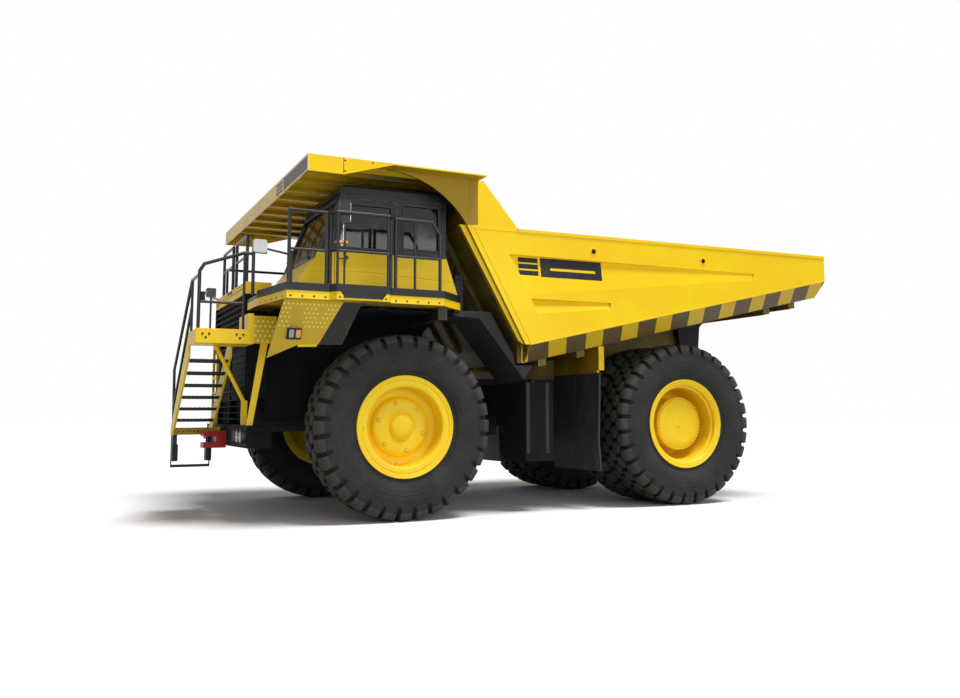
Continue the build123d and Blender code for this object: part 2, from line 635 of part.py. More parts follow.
def canopy():
    """Cab guard: roof plate, front and side flanges, long ribs and arched side gussets."""
    top = block((CANOPY_REAR, CANOPY_FRONT), (-CANOPY_HALF, CANOPY_HALF), (CANOPY_LOW, CANOPY_TOP))
    lip_z = CANOPY_TOP - FLANGE_DEEP
    front = block((CANOPY_FRONT - PLATE, CANOPY_FRONT), (-CANOPY_HALF, CANOPY_HALF), (lip_z, CANOPY_LOW))
    reach = HEAD_X_OUT + GUSSET_LEN
    side = [
        (CANOPY_FRONT, lip_z), (CANOPY_FRONT - 500, lip_z), (reach, CANOPY_LOW), (CANOPY_FRONT, CANOPY_LOW),
    ]
    guard = top + front + both_sides(slab_y(side, CANOPY_HALF - PLATE, CANOPY_HALF))
    for i in range(-4, 5):
        y = i * CANOPY_RIB_PITCH
        ribs = (HEAD_X_OUT, CANOPY_FRONT - PLATE)
        guard += block(ribs, (y - 30, y + 30), (CANOPY_TOP - CANOPY_RIB, CANOPY_LOW))
    # side gusset from the canopy down to the front wall, hollowed by one arc
    corner, tip, foot = [(x, BODY_HALF, z) for x, z in (
        (HEAD_X_OUT, CANOPY_LOW), (reach, CANOPY_LOW), (HEAD_X_OUT, BODY_TOP))]
    edge = Polyline(foot, corner, tip) + TangentArc(tip, foot, tangent=(-1, 0, 0))
    return guard + both_sides(extrude(make_face(edge), 2 * PLATE, dir=(0, -1, 0)))


def hinge_lugs():
    """Lugs under the floor that turn on the frame's hinge pins."""
    x, z, y0 = HINGE_X, HINGE_Z, RAIL_Y[1] + PLATE
    r = HINGE_PIN_R + 90
    outline = [(x - r, z), (x - 260, floor_z(x - 260)), (x + 300, floor_z(x + 300)), (x + r, z)]
    lug = slab_y(outline, y0, y0 + LUG_T) + drum(r, x, z, y0, y0 + LUG_T)
    return both_sides(lug - drum(HINGE_PIN_R + BORE_GAP, x, z, y0, y0 + LUG_T))


def mud_flaps():
    """Hangers under the body and the flaps in front of the rear tyres."""
    x = TYRE_R + FLAP_GAP
    y0, y1 = TWIN_IN + 87, BODY_HALF - SKIRT_IN
    z = RAIL_TOP + 50
    beam_x = (x - 4, x + FLAP_T + 4)
    hanger = block(beam_x, (y0, y1 - FLOOR_T), (z, floor_z(beam_x[1])))
    hanger += block((x - 64, x + FLAP_T + 4), (y1 - FLOOR_T, y1 - 4), (z + 40, floor_z(beam_x[1])))
    knee = z - 1090
    outline = [
        (x, z), (x + FLAP_T, z), (x + FLAP_T + 40, knee), (x + FLAP_T + 4, FLAP_FOOT), (x + 4, FLAP_FOOT),
        (x + 40, knee),
    ]
    return both_sides(hanger), both_sides(slab_y(outline, y0, y1 - 4))


# ---- deck, hood, cab ---------------------------------------------------------------------
def deck_left():
    """Left walkway round the cab, with its chamfered corners and the door's bay."""
    half, front = DECK_HALF, DECK_FRONT
    bay = half + BAY_OUT
    outline = [
        (DECK_REAR, CAB_Y[0]), (NOSE_X, CAB_Y[0]), (NOSE_X, LAND_Y[0] + 10), (front + 160, LAND_Y[0] + 10),
        (front + 160, LAND_Y[1]), (front, half),
        (BAY_X[1] + 70, half), (BAY_X[1], bay), (BAY_X[0], bay), (BAY_X[0] - 70, half),
        (DECK_REAR + 460, half), (DECK_REAR, half - 450),
    ]
    return slab_z(outline, DECK_LOW, DECK_TOP)


DOOR_X = CAB_FRONT - 1467.0                     # door's hinge side
BAY_X = (DOOR_X + 320.0, DOOR_X + 1057.0)


def deck_right():
    """Right walkway."""
    y0, y1 = HOOD_SIDES[0], -DECK_HALF
    outline = [(DECK_REAR, y0), (NOSE_X, y0), (NOSE_X, y1), (DECK_REAR + 460, y1), (DECK_REAR, y1 + 450)]
    return slab_z(outline, DECK_LOW, DECK_TOP)


def panel_y(z):
    """Outer face of a lamp panel at height z: it leans inwards downwards."""
    return DECK_HALF - PANEL_IN - PANEL_LEAN * (DECK_LOW - z)


def panel_band(inner, outer, z0, z1, x0, x1):
    """Leaning band along X, from inner to outer measured outwards from the panel's face."""
    points = [(panel_y(z1) + inner, z1), (panel_y(z0) + inner, z0),
              (panel_y(z0) + outer, z0), (panel_y(z1) + outer, z1)]
    return slab_x(points, x0, x1)


def deck_props():
    """Uprights that carry the deck on the frame, and the leaning lamp panels."""
    x0 = (DECK_REAR + WHEELBASE) / 2 - 105
    props = block((x0, x0 + 140), RAIL_Y, (RAIL_TOP, DECK_LOW))
    props += block((x0, x0 + 140), (RAIL_Y[1], DECK_HALF - 200), (DECK_LOW - 180, DECK_LOW))
    f, top = DECK_FRONT, DECK_LOW
    outline = [
        (f - 10, top), (f + 130, top - 768), (f - 268, top - 583), (f - 879, top - 565),
        (f - 1072, top - 28), (f - 1261, top),
    ]
    low = top - 780
    panel = slab_y(outline, panel_y(low) - 60, DECK_HALF)
    panel = panel & panel_band(-PANEL_T, 0, low, top, f - 1400, f + 200)
    right = flip(panel & block((f - 1400, NOSE_X + 40), (0, DECK_HALF), (low, top)))
    return both_sides(props) + panel + right


def fenders():
    """Sloped mudguards behind the front tyres, and the louvred boxes on them."""
    x, z = DECK_REAR, DECK_LOW
    brow = head_x(z) + HEAD_T + HEAD_RIB + 74
    heel = SIDE_LOW_X + HEAD_T + 54
    outline = [
        (x + 100, z), (brow, z), (heel, FLOOR_LOW + 124), (heel - 25, FLOOR_LOW - 36),
        (SIDE_LOW_X - 166, FLOOR_LOW - 36), (SIDE_LOW_X - 18, FLOOR_LOW - 250),
        (x - 318, z - 105), (x + 100, z - 80),
    ]
    guard = slab_y(outline, *FENDER_Y)
    box = block((x - 140, x - 10), (FENDER_Y[0] + 150, FENDER_Y[1] - 200), (z, z + 560))
    for i in range(6):
        slot = z + 60 + 80.0 * i
        box -= block((x - 140, x - 10), (FENDER_Y[1] - 220, FENDER_Y[1] - 199), (slot, slot + 40))
    return both_sides(guard + box)


def lamps():
    """Lamp pairs on the panels, head lamps on the bumper, tail lamps and a work lamp."""
    x = DECK_FRONT - 280
    z1 = DECK_LOW - 380
    pair = panel_band(0, 60, z1 - 130, z1, x, x + 85) + panel_band(0, 60, z1 - 130, z1, x + 92, x + 177)
    pair += panel_band(0, 25, z1 - 140, z1 + 10, x - 10, x + 187)
    head = BUMPER_Z[1] - 160
    for y in (BUMPER_HALF - 130, BUMPER_HALF - 360):
        pair += shaft(92, y, head, BUMPER_X[1], BUMPER_X[1] + 55)
    tail_y = (RAIL_Y[0] + 20, RAIL_Y[1] - 20)
    tail = block((RAIL_REAR - 45, RAIL_REAR), tail_y, (RAIL_TOP - 290, RAIL_TOP - 120))
    y = LAND_Y[1] - 90
    work = post(14, LAND_X[0] + 500, y, LAND_Z[1], LAND_Z[1] + 450)
    work += block((LAND_X[0] + 440, LAND_X[0] + 560), (y - 45, y + 45), (LAND_Z[1] + 450, LAND_Z[1] + 575))
    return both_sides(pair + tail) + work


def mirrors():
    """Mirror beside the door and mirrors on arms at the deck's front corners."""
    z = DECK_TOP
    x, y = BAY_X[1] - 120, DECK_HALF + 25
    door = post(14, x, y, z, z + 1240)
    door += block((x - 70, x + 60), (y - 50, y + 20), (z + 900, z + 1220))
    corner = None
    for x, side in ((DECK_FRONT - 90, 1), (NOSE_X - 60, -1)):
        y = DECK_HALF - 150
        tip = x + 430
        arm = post(18, x, y, z, z + 500) + rod(14, (x, y, z + 440), (tip, y + 60, z + 500))
        arm += block((tip - 90, tip + 100), (y + 35, y + 85), (z + 420, z + 600))
        arm = arm if side > 0 else flip(arm)
        corner = arm if corner is None else corner + arm
    return door + corner


def front_ladder():
    """Upright ladder on the bumper's right half, leaning on the grille's frame."""
    x, z0 = HOOD_FRONT, BUMPER_Z[1]
    ladder = None
    for y in (HOOD_SIDES[0] + 110, HOOD_SIDES[0] + 470):
        rail = block((x, x + 40), (y - 20, y + 20), (z0, NOSE_Z - GRILLE_H + 250))
        ladder = rail if ladder is None else ladder + rail
    step = 250.0
    z = z0 + step
    while z < NOSE_Z - GRILLE_H + 200:
        ladder += block((x + 5, x + 35), (HOOD_SIDES[0] + 130, HOOD_SIDES[0] + 450), (z, z + 30))
        z += step
    return ladder


def hood():
    """Engine hood between the walkways, open below."""
    y0, y1 = HOOD_SIDES
    y_cab = CAB_Y[0]
    t = PLATE * 2
    rear = block((DECK_REAR, NOSE_X), (y0, y_cab), (DECK_LOW, HOOD_TOP))
    rear -= block((DECK_REAR + t, NOSE_X + 1), (y0 + t, y_cab - t), (DECK_LOW - 1, HOOD_TOP - t))
    nose = block((NOSE_X, HOOD_FRONT), (y0, y1), (NOSE_Z, HOOD_TOP))
    nose -= block((NOSE_X - 1, HOOD_FRONT - t), (y0 + t, y1 - t), (NOSE_Z - 1, HOOD_TOP - t))
    nose = nose - block((HOOD_FRONT - 30, HOOD_FRONT + 1), (y0 + 60, y1 - 60), (NOSE_Z + 30, HOOD_TOP - 70))
    step = block((NOSE_X, NOSE_X + t), (y_cab - t, y1), (NOSE_Z, HOOD_TOP))
    return rear + nose + step


def radiator():
    """Radiator on the frame's nose, with slanted louvres in its grille."""
    x1 = HOOD_FRONT - 60
    low, high = HOOD_SIDES
    core = block((WHEELBASE + RAD_AHEAD, x1), HOOD_SIDES, (NOSE_TOP, NOSE_Z - GRILLE_H))
    core += block((WHEELBASE + RAD_AHEAD, x1), (low + 60, high - 60), (NOSE_Z - GRILLE_H, NOSE_Z))
    core += block((x1, HOOD_FRONT), HOOD_SIDES, (NOSE_TOP + 100, NOSE_TOP + 140))
    for y in (low, high - 60):
        core += block((x1 - 60, HOOD_FRONT), (y, y + 60), (NOSE_Z - GRILLE_H, NOSE_Z))
    slats = []
    z = NOSE_Z - GRILLE_H
    while z < NOSE_Z - 60:
        slat = [(x1, z + 60), (HOOD_FRONT, z), (HOOD_FRONT, z + 25), (x1, z + 85)]
        slats.append(slab_y(slat, low + 60, high - 60))
        z += 95.0
    return core + slats


def cab_face(z):
    """Cab's sloped front at height z."""
    knee_x, knee_z = CAB_FRONT - 270, DECK_TOP + 500
    return knee_x - 0.375 * (z - knee_z)


def cab_shell():
    """Cab walls with the window and door openings cut, the cowl sloping in front."""
    y0, y1 = CAB_Y
    w, x0 = CAB_WALL, CAB_REAR
    knee = DECK_TOP + 500
    outer = slab_y([
        (x0, DECK_TOP), (CAB_FRONT, DECK_TOP), (CAB_FRONT - 40, DECK_TOP + 180), (cab_face(knee), knee),
        (cab_face(ROOF_LOW), ROOF_LOW), (x0 + 210, ROOF_LOW), (x0 + 220, WAIST_Z),
    ], y0, y1)
    inner = slab_y([
        (x0 + 150, DECK_TOP + w), (CAB_FRONT - 80, DECK_TOP + w), (CAB_FRONT - 110, DECK_TOP + 160),
        (cab_face(knee) - 75, knee - 20), (cab_face(ROOF_LOW) - 75, ROOF_LOW + 1),
        (x0 + 280, ROOF_LOW + 1), (x0 + 290, WAIST_Z + 20),
    ], y0 + w, y1 - w)
    shell = outer - inner
    for outline, ya, yb in window_cuts():
        shell -= slab_y(outline, ya, yb)
    shell -= slab_y(door_outline(0), y1 - w - 1, y1 + 1)
    for z in HINGE_ZS:
        shell += post(DOOR_PIN, DOOR_X + 3, y1 + DOOR_PIN, z - 60, z)
        shell += block((DOOR_X - 37, DOOR_X + 3), (y1, y1 + DOOR_PIN), (z - 60, z))
    return shell


DOOR_PIN = 14.0               # door's hinge barrels
DOOR_GAP = 6.0
HINGE_ZS = (DECK_TOP + 200.0, ROOF_LOW - 340.0)


def door_outline(gap):
    """Door opening seen from the side, made smaller by a gap all round."""
    x0, x1 = DOOR_X + gap, DOOR_X + DOOR_W - gap * 1.5
    low, top, bend = DECK_TOP + 62 + gap, ROOF_LOW - 60 - gap, WAIST_Z + 180
    return [(x0, low), (x1, low), (x1, bend), (x1 - 170, top), (x0, top)]


def window_cuts():
    """Openings of the cab's fixed windows: (outline, y0, y1)."""
    y0, y1 = CAB_Y
    w, x0 = CAB_WALL, CAB_REAR
    sill, head = WAIST_Z + 40, ROOF_LOW - 80
    knee = DECK_TOP + 500
    rear_side = [(x0 + 330, sill), (DOOR_X - 90, sill), (DOOR_X - 90, head), (x0 + 330, head)]
    right_side = [(x0 + 330, sill), (CAB_FRONT - 550, sill), (cab_face(head) - 90, head), (x0 + 330, head)]
    screen = [
        (cab_face(knee) - 110, knee - 60), (cab_face(knee) + 70, knee + 60), (cab_face(head) + 70, head),
        (cab_face(head) - 220, head),
    ]
    rear = [(x0 + 90, sill + 50), (x0 + 390, sill + 50), (x0 + 390, head), (x0 + 90, head)]
    return [
        (rear_side, y1 - w, y1), (right_side, y0, y0 + w),
        (screen, y0 + w, y1 - w), (rear, y0 + 200, y1 - 200),
    ]


def cab_roof():
    """Cab roof slab with its bevelled brow."""
    x0, x1 = CAB_REAR + 150, cab_face(ROOF_LOW) + 50
    slab = slab_y([(x1, ROOF_LOW), (x1 - 75, ROOF_TOP), (x0 + 40, ROOF_TOP), (x0, ROOF_LOW)],
                  CAB_Y[0] - PLATE, CAB_Y[1] + PLATE)
    edges = slab.edges().filter_by(Axis.X)
    return chamfer(edges.group_by(Axis.Z)[-1], 35)


def cab_glass():
    """Fixed panes of the windows, each filling its opening."""
    y0, y1 = CAB_Y
    cuts = window_cuts()
    side = slab_y(cuts[0][0], y1 - 35, y1 - 25)
    right = slab_y(cuts[1][0], y0 + 25, y0 + 35)
    x = CAB_REAR + 240
    rear = block((x, x + 10), (y0 + 200, y1 - 200), (WAIST_Z + 90, ROOF_LOW - 80))
    cut = slab_y(cuts[2][0], y0 + CAB_WALL, y1 - CAB_WALL)
    low, high = DECK_TOP + 400, ROOF_LOW + 100
    band = slab_y([(cab_face(low) - 40, low), (cab_face(low) - 28, low), (cab_face(high) - 28, high),
                   (cab_face(high) - 40, high)], *CAB_Y)
    return Compound([side, right, rear, cut & band])


def cab_door():
    """Door with its window opening, and the door's pane."""
    y1 = CAB_Y[1]
    x0, x1 = DOOR_X + 90, DOOR_X + DOOR_W - 70
    sill, head = WAIST_Z, ROOF_LOW - 140
    hole = [(x0, sill), (x1, sill), (x1, sill + 170), (x1 - 160, head), (x0, head)]
    door = slab_y(door_outline(DOOR_GAP), y1 - 50, y1) - slab_y(hole, y1 - 51, y1 + 1)
    handle = block((x1 - 70, x1 + 30), (y1, y1 + 40), (WAIST_Z - 160, WAIST_Z - 120))
    for z in HINGE_ZS:
        door += post(DOOR_PIN, DOOR_X + 3, y1 + DOOR_PIN, z, z + 60)
        door += block((DOOR_X + 3, DOOR_X + 43), (y1, y1 + DOOR_PIN), (z, z + 60))
    return door + handle, slab_y(hole, y1 - 30, y1 - 22)


SEAT_Y = (1200.0, 1750.0)


def seat():
    """Driver's seat on its pedestal."""
    x, z = DOOR_X - 190, DECK_TOP + CAB_WALL
    top = DECK_TOP + 450
    pedestal = block((x + 50, x + 450), (SEAT_Y[0] + 50, SEAT_Y[1] - 50), (z, top))
    cushion = block((x - 80, x + 550), SEAT_Y, (top, top + 120))
    back = [(x - 80, top + 120), (x + 60, top + 120), (x, top + 800), (x - 120, top + 800)]
    return pedestal + cushion + slab_y(back, *SEAT_Y)


def dashboard():
    """Dashboard across the cab's front, with the steering column and wheel."""
    x, z = CAB_FRONT, DECK_TOP
    desk = slab_y([
        (x - 460, z + CAB_WALL), (x - 120, z + CAB_WALL), (x - 140, z + 160), (x - 380, z + 440),
        (x - 610, z + 500), (x - 610, z + 300),
    ], CAB_Y[0] + CAB_WALL, CAB_Y[1] - CAB_WALL)
    y = (SEAT_Y[0] + SEAT_Y[1]) / 2
    tip = (x - 780, y, z + 600)
    column = rod(35, (x - 570, y, z + 400), tip)
    plane = Plane(origin=tip, z_dir=(-1, 0, 0.95))
    wheel = extrude(plane * (Circle(230) - Circle(195)), 30)
    return desk + column + wheel + extrude(plane * Rectangle(40, 400), 30)


# ---- landing, stair and rails -----------------------------------------------------------------
def landing():
    """Landing in front of the deck with the step box behind it."""
    plate = block(LAND_X, LAND_Y, LAND_Z)
    x, z = LAND_X[0], LAND_Z[0]
    column = block((x - 78, x), LAND_Y, (z, DECK_LOW - 110))
    step = block((x - 138, x - 78), LAND_Y, (z + 20, DECK_LOW - 140))
    step += block((x - 401, x - 78), (LAND_Y[1] - 200, LAND_Y[1]), (z + 20, DECK_LOW - 140))
    return plate + column + step


def stringers():
    """The two sloped side plates of the stair."""
    (y0, z0), (y1, z1) = STAIR_FOOT, STAIR_HEAD
    outline = [
        (y0 - 120, z0 - 80), (y0 + 60, z0 - 80), (y1, z1 - 120), (y1, LAND_Z[1]),
        (y1 - 40, LAND_Z[1]), (y0 - 120, z0 + 60),
    ]
    xa, xb = STAIR_X
    return slab_x(outline, xa, xa + STAIR_PLATE) + slab_x(outline, xb - STAIR_PLATE, xb)


def stair():
    """Two stringers and the treads between them, climbing across the front."""
    (y0, z0), (y1, z1) = STAIR_FOOT, STAIR_HEAD
    (xa, xb), t = STAIR_X, STAIR_PLATE
    flight = stringers()
    for i in range(TREADS):
        y = y0 + (y1 - y0) * i / TREADS
        z = z0 + (z1 - z0) * i / TREADS
        flight += block((xa + t, xb - t), (y - TREAD_HALF, y + TREAD_HALF), (z - 30, z))
    return flight + block((BUMPER_X[1], xa), (y0 - 120, y0), (z0 - 66, z0 + 54))


def landing_stays():
    """Stay plate on the bumper and the brace tube, both under the landing."""
    x, z = BUMPER_X[1], BUMPER_Z[1]
    top = LAND_Z[0] + 20
    outline = [(x - 80, z), (x, z), (x - 170, top), (x - 270, top)]
    plate = slab_y(outline, LAND_Y[1] - 150, LAND_Y[1] - 120)
    y = LAND_Y[0] - 40
    lug = block((x - 110, x - 30), (y - 30, y + 30), (z, z + 355))
    tube = rod(28, (x - 70, y, z + 325), (LAND_X[0] + 332, LAND_Y[0] + 20, LAND_Z[0] + 10))
    tube -= block((x, x + 800), (y - 200, y + 300), (LAND_Z[0], LAND_Z[0] + 200))
    return plate + lug + tube


def hanging_step():
    """Straps under the stair's foot with the lowest step."""
    y, z = STAIR_FOOT
    x0, x1 = STAIR_X
    low = z - 566
    step = block((x0 + 9, x1 - 9), (y - 120, y - 60), (low, low + 40))
    for x in (x0 + 9, x1 - 21):
        step += block((x, x + 12), (y - 120, y - 60), (low + 40, z - 80))
    return step


def hoop(points, mid):
    """Handrail hoop along a chain of points, with bars at height mid between its legs."""
    rail = bent_tube(RAIL_R, points)
    flat = [(x, y, mid) for x, y, z in points[1:-1]]
    bars = [rod(RAIL_R * 0.8, a, b) for a, b in zip(flat, flat[1:])]
    return rail + bars


def handrails():
    """Deck rails: hoops along both sides, round the door's bay and on the hood's nose."""
    z0, z1, mid = DECK_TOP, DECK_TOP + RAIL_H, DECK_TOP + 510.0
    y, bay = DECK_HALF - 40, DECK_HALF + BAY_OUT - 25
    b0, b1, front = BAY_X[0], BAY_X[1], DECK_FRONT - 30
    rear = DECK_REAR + 500
    left = hoop([(b1 + 110, y, z0), (b1 + 110, y, z1), (front, y, z1), (front, y, z0)], mid)
    left += hoop([(b0 - 70, y, z0), (b0 - 70, y, z1), (b0, bay, z1), (b1, bay, z1), (b1 + 60, y, z1),
                  (b1 + 60, y, z0)], mid)
    left += [post(RAIL_R * 0.8, x, bay, z0, z1) for x in (b0 + 10, b1 - 10)]
    left += hoop([(rear, y, z0), (rear, y, z1 - 180), (rear + 120, y, z1), (b0 - 140, y, z1),
                  (b0 - 140, y, z0)], mid)
    left += post(RAIL_R * 0.8, b0 - 430, y, z0, z1)
    right = hoop([(rear, y, z0), (rear, y, z1), (b0 - 140, y, z1), (b0 - 140, y, z0)], mid)
    right += hoop([(b0 - 70, y, z0), (b0 - 70, y, z1), (NOSE_X - 40, y, z1), (NOSE_X - 40, y, z0)], mid)
    rails = left + flip(right)
    x, top = HOOD_FRONT - 85, DECK_TOP + 1040
    y_low, y_high = HOOD_SIDES
    for ya, yb in ((y_low + 232, y_low + 1052), (y_low + 1342, y_high - 371)):
        rails += hoop([(x, ya, HOOD_TOP), (x, ya, top), (x, yb, top), (x, yb, HOOD_TOP)], HOOD_TOP + 450)
    return rails


def stair_rails():
    """Handrails of the landing's side and of the stair's front."""
    x, y, z = FRONT_X - RAIL_R - 6, LAND_Y[1] - 40, LAND_Z[1]
    back, top = LAND_X[0] - 58, LAND_Z[1] + 1100
    side = bent_tube(RAIL_R, [(x, y, z), (x, y, z + 810), (x - 60, y, z + 910), (x - 600, y, top),
                              (back, y, top), (back, y, DECK_TOP)])
    side += rod(RAIL_R * 0.8, (x, y, z + 380), (back + 120, y, z + 380))
    side += post(RAIL_R * 0.8, back + 120, y, z, top)
    (y0, z0), (y1, z1) = STAIR_FOOT, STAIR_HEAD
    head = z + 760
    front = bent_tube(RAIL_R - 2, [
        (x, y0 - 60, z0 + 8), (x, y0 - 160, z0 + 960), (x, y1 - 60, head), (x, y, head),
    ])
    front += rod(RAIL_R * 0.8, (x, y0 - 100, z0 + 380), (x, y1 - 30, z + 360))
    front += post(RAIL_R * 0.8, x, y1 - 20, z - 5, head)
    return side + (front - stringers())


# ---- hoists -------------------------------------------------------------------------------------
def hoists():
    """Left hoist: barrel, sleeve and rod, drawn along its own line."""
    (fx, fz), (hx, hz) = HOIST_FOOT, HOIST_HEAD
    line = Vector(hx - fx, 0, hz - fz)
    length = line.length
    u = line.normalized()
    foot = Vector(fx, HOIST_Y, fz)
    floor = 50.0                  # closed bottom of the barrel
    sleeve_r = HOIST_R - HOIST_WALL - HOIST_STEP
    rod_r = sleeve_r - HOIST_WALL - HOIST_STEP

    def tube(r, s0, s1, bore=0.0):
        return disc(Plane(origin=foot + u * s0, x_dir=(0, 1, 0), z_dir=u), r, s1 - s0, bore)

    eye = (HOIST_Y - 45, HOIST_Y + 45)
    top = length - 273.0
    barrel = tube(HOIST_R, 60, top, bore=HOIST_R - HOIST_WALL) + tube(HOIST_R, 60, 60 + floor)
    barrel = barrel + drum(80, fx, fz, *eye) - drum(43, fx, fz, HOIST_Y - 60, HOIST_Y + 60)
    sleeve = tube(sleeve_r, 60 + floor, top + 70, bore=sleeve_r - HOIST_WALL)
    sleeve += tube(sleeve_r, 60 + floor, 90 + floor)
    piston = tube(rod_r, 90 + floor, length - 60) + drum(80, hx, hz, *eye)
    return barrel, sleeve, piston


def hoist_feet():
    """Brackets on the rails that carry the hoists' foot pins."""
    fx, fz = HOIST_FOOT
    y, top = RAIL_Y[1], RAIL_LOW + 300
    outline = [(fx - 90, fz - 90), (fx + 90, fz - 90), (fx + 700, top), (fx + 300, top), (fx - 90, fz + 120)]
    plate = slab_y(outline, y, y + 50)
    pin = drum(40, fx, fz, y + 50, HOIST_Y + 60)
    collar = drum(60, fx, fz, y + 50, HOIST_Y - 45)
    return both_sides(plate + pin + collar)


# ---- save -------------------------------------------------------------------------------------------
def main():
    """Build and save every piece."""
    os.makedirs("parts", exist_ok=True)
    save_wheels()
    oil, fuel = tanks()
    hangers, flaps = mud_flaps()
    door, pane = cab_door()
    left = knuckle()
    pieces = {
        "frame_rails": frame_rails(), "cross_beams": cross_beams(), "rear_hitch": rear_hitch(),
        "rear_axle": rear_axle(), "rear_struts": rear_struts(),
        "front_arms": front_arms(), "front_struts": front_struts(), "hinge_brackets": hinge_brackets(),
        "front_bumper": bumper(), "tow_block": tow_block(), "engine": engine(),
        "transmission": transmission(), "oil_tank": oil, "fuel_tank": fuel,
        "body_sides": body_sides(), "body_floor": body_floor(), "headboard": headboard(),
        "canopy": canopy(), "hinge_lugs": hinge_lugs(), "flap_hangers": hangers, "mud_flaps": flaps,
        "deck_left": deck_left(), "deck_right": deck_right(), "deck_props": deck_props(),
        "fenders": fenders(), "lamps": lamps(), "mirrors": mirrors(), "front_ladder": front_ladder(),
        "hood": hood(), "radiator": radiator(), "cab_shell": cab_shell(), "cab_roof": cab_roof(),
        "cab_glass": cab_glass(), "cab_door": door, "door_glass": pane, "driver_seat": seat(),
        "dashboard": dashboard(), "landing": landing(), "front_stair": stair(),
        "hanging_step": hanging_step(), "landing_stays": landing_stays(),
        "deck_handrails": handrails(), "landing_rails": stair_rails(),
        "hoist_feet": hoist_feet(), "knuckle_left": left, "knuckle_right": flip(left),
    }
    for name, shape in zip(("barrel", "sleeve", "rod"), hoists()):
        pieces["hoist_" + name + "_left"] = shape
        pieces["hoist_" + name + "_right"] = flip(shape)
    for name, shape in pieces.items():
        save(shape, name)


main()
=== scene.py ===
"""Looks of a rigid-frame mining dump truck, built round its CAD frame.

Every class below is one sub-assembly or one finish. Lengths are in metres, x forward, y to the
truck's left, z up, in the frame of the CAD model.
"""

import json
import logging
import math
from dataclasses import dataclass
from enum import Enum
from typing import Callable, Optional, Sequence, Union

import bmesh
import bpy
import numpy as np
from mathutils import Matrix, Vector


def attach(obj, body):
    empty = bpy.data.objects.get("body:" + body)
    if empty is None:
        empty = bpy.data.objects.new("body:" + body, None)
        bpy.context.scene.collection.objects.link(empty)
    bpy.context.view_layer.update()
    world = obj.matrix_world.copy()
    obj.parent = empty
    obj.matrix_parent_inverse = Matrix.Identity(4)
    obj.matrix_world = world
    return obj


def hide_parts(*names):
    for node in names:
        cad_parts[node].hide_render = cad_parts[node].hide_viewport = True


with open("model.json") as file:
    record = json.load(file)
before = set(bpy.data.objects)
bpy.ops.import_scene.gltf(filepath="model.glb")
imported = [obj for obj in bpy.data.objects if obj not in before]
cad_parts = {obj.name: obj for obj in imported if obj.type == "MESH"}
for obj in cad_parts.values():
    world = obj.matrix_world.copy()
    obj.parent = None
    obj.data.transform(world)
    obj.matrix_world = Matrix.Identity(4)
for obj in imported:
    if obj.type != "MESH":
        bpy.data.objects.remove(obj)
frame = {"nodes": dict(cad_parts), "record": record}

LOG = logging.getLogger("truck")
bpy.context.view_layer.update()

RGB = tuple[float, float, float]
Array = np.ndarray


class Side(Enum):
    """Side of the truck, as the sign of y."""

    LEFT = 1
    RIGHT = -1

    @property
    def word(self) -> str:
        """The side's name as the CAD nodes spell it."""
        return self.name.lower()


# ---- shader graph ------------------------------------------------------------------------
Value = Union[float, Sequence[float], "Socket"]


def operator(kind: str, reflected: bool = False) -> Callable[["Socket", Value], "Socket"]:
    """An operator method that adds one Math node; a reflected one swaps its two inputs."""

    def method(first: "Socket", second: Value) -> "Socket":
        """One Math node on two values."""
        feeds = {0: second, 1: first} if reflected else {0: first, 1: second}
        return first.graph.node("ShaderNodeMath", {"operation": kind}, feeds)

    return method


class Socket:
    """An output socket of a shader graph whose operators add Math nodes.

    Comparisons give 1 where they hold and 0 elsewhere, a remainder stays positive, and high and low
    are the larger and the smaller of two.
    """

    __add__ = __radd__ = operator("ADD")
    __sub__ = operator("SUBTRACT")
    __rsub__ = operator("SUBTRACT", reflected=True)
    __mul__ = __rmul__ = operator("MULTIPLY")
    __truediv__ = operator("DIVIDE")
    __pow__ = operator("POWER")
    __mod__ = operator("FLOORED_MODULO")
    __gt__ = operator("GREATER_THAN")
    __lt__ = operator("LESS_THAN")
    high = operator("MAXIMUM")
    low = operator("MINIMUM")

    def __init__(self, graph: "Graph", out: bpy.types.NodeSocket) -> None:
        """Wraps one output of the graph."""
        self.graph = graph
        self.out = out

    def __abs__(self) -> "Socket":
        """Absolute value."""
        return self.graph.node("ShaderNodeMath", {"operation": "ABSOLUTE"}, {0: self})

    def hypot(self, other: "Socket") -> "Socket":
        """Square root of the two squares added."""
        return (self * self + other * other) ** 0.5

    def within(self, start: float, end: float) -> "Socket":
        """1 between start and end, 0 outside."""
        return (self > start) * (self < end)

    def ease(self, start: float, end: float) -> "Socket":
        """Smooth step from 0 at start to 1 at end."""
        return self.graph.node("ShaderNodeMapRange", {"interpolation_type": "SMOOTHSTEP"},
                               {0: self, 1: start, 2: end, 3: 0.0, 4: 1.0})


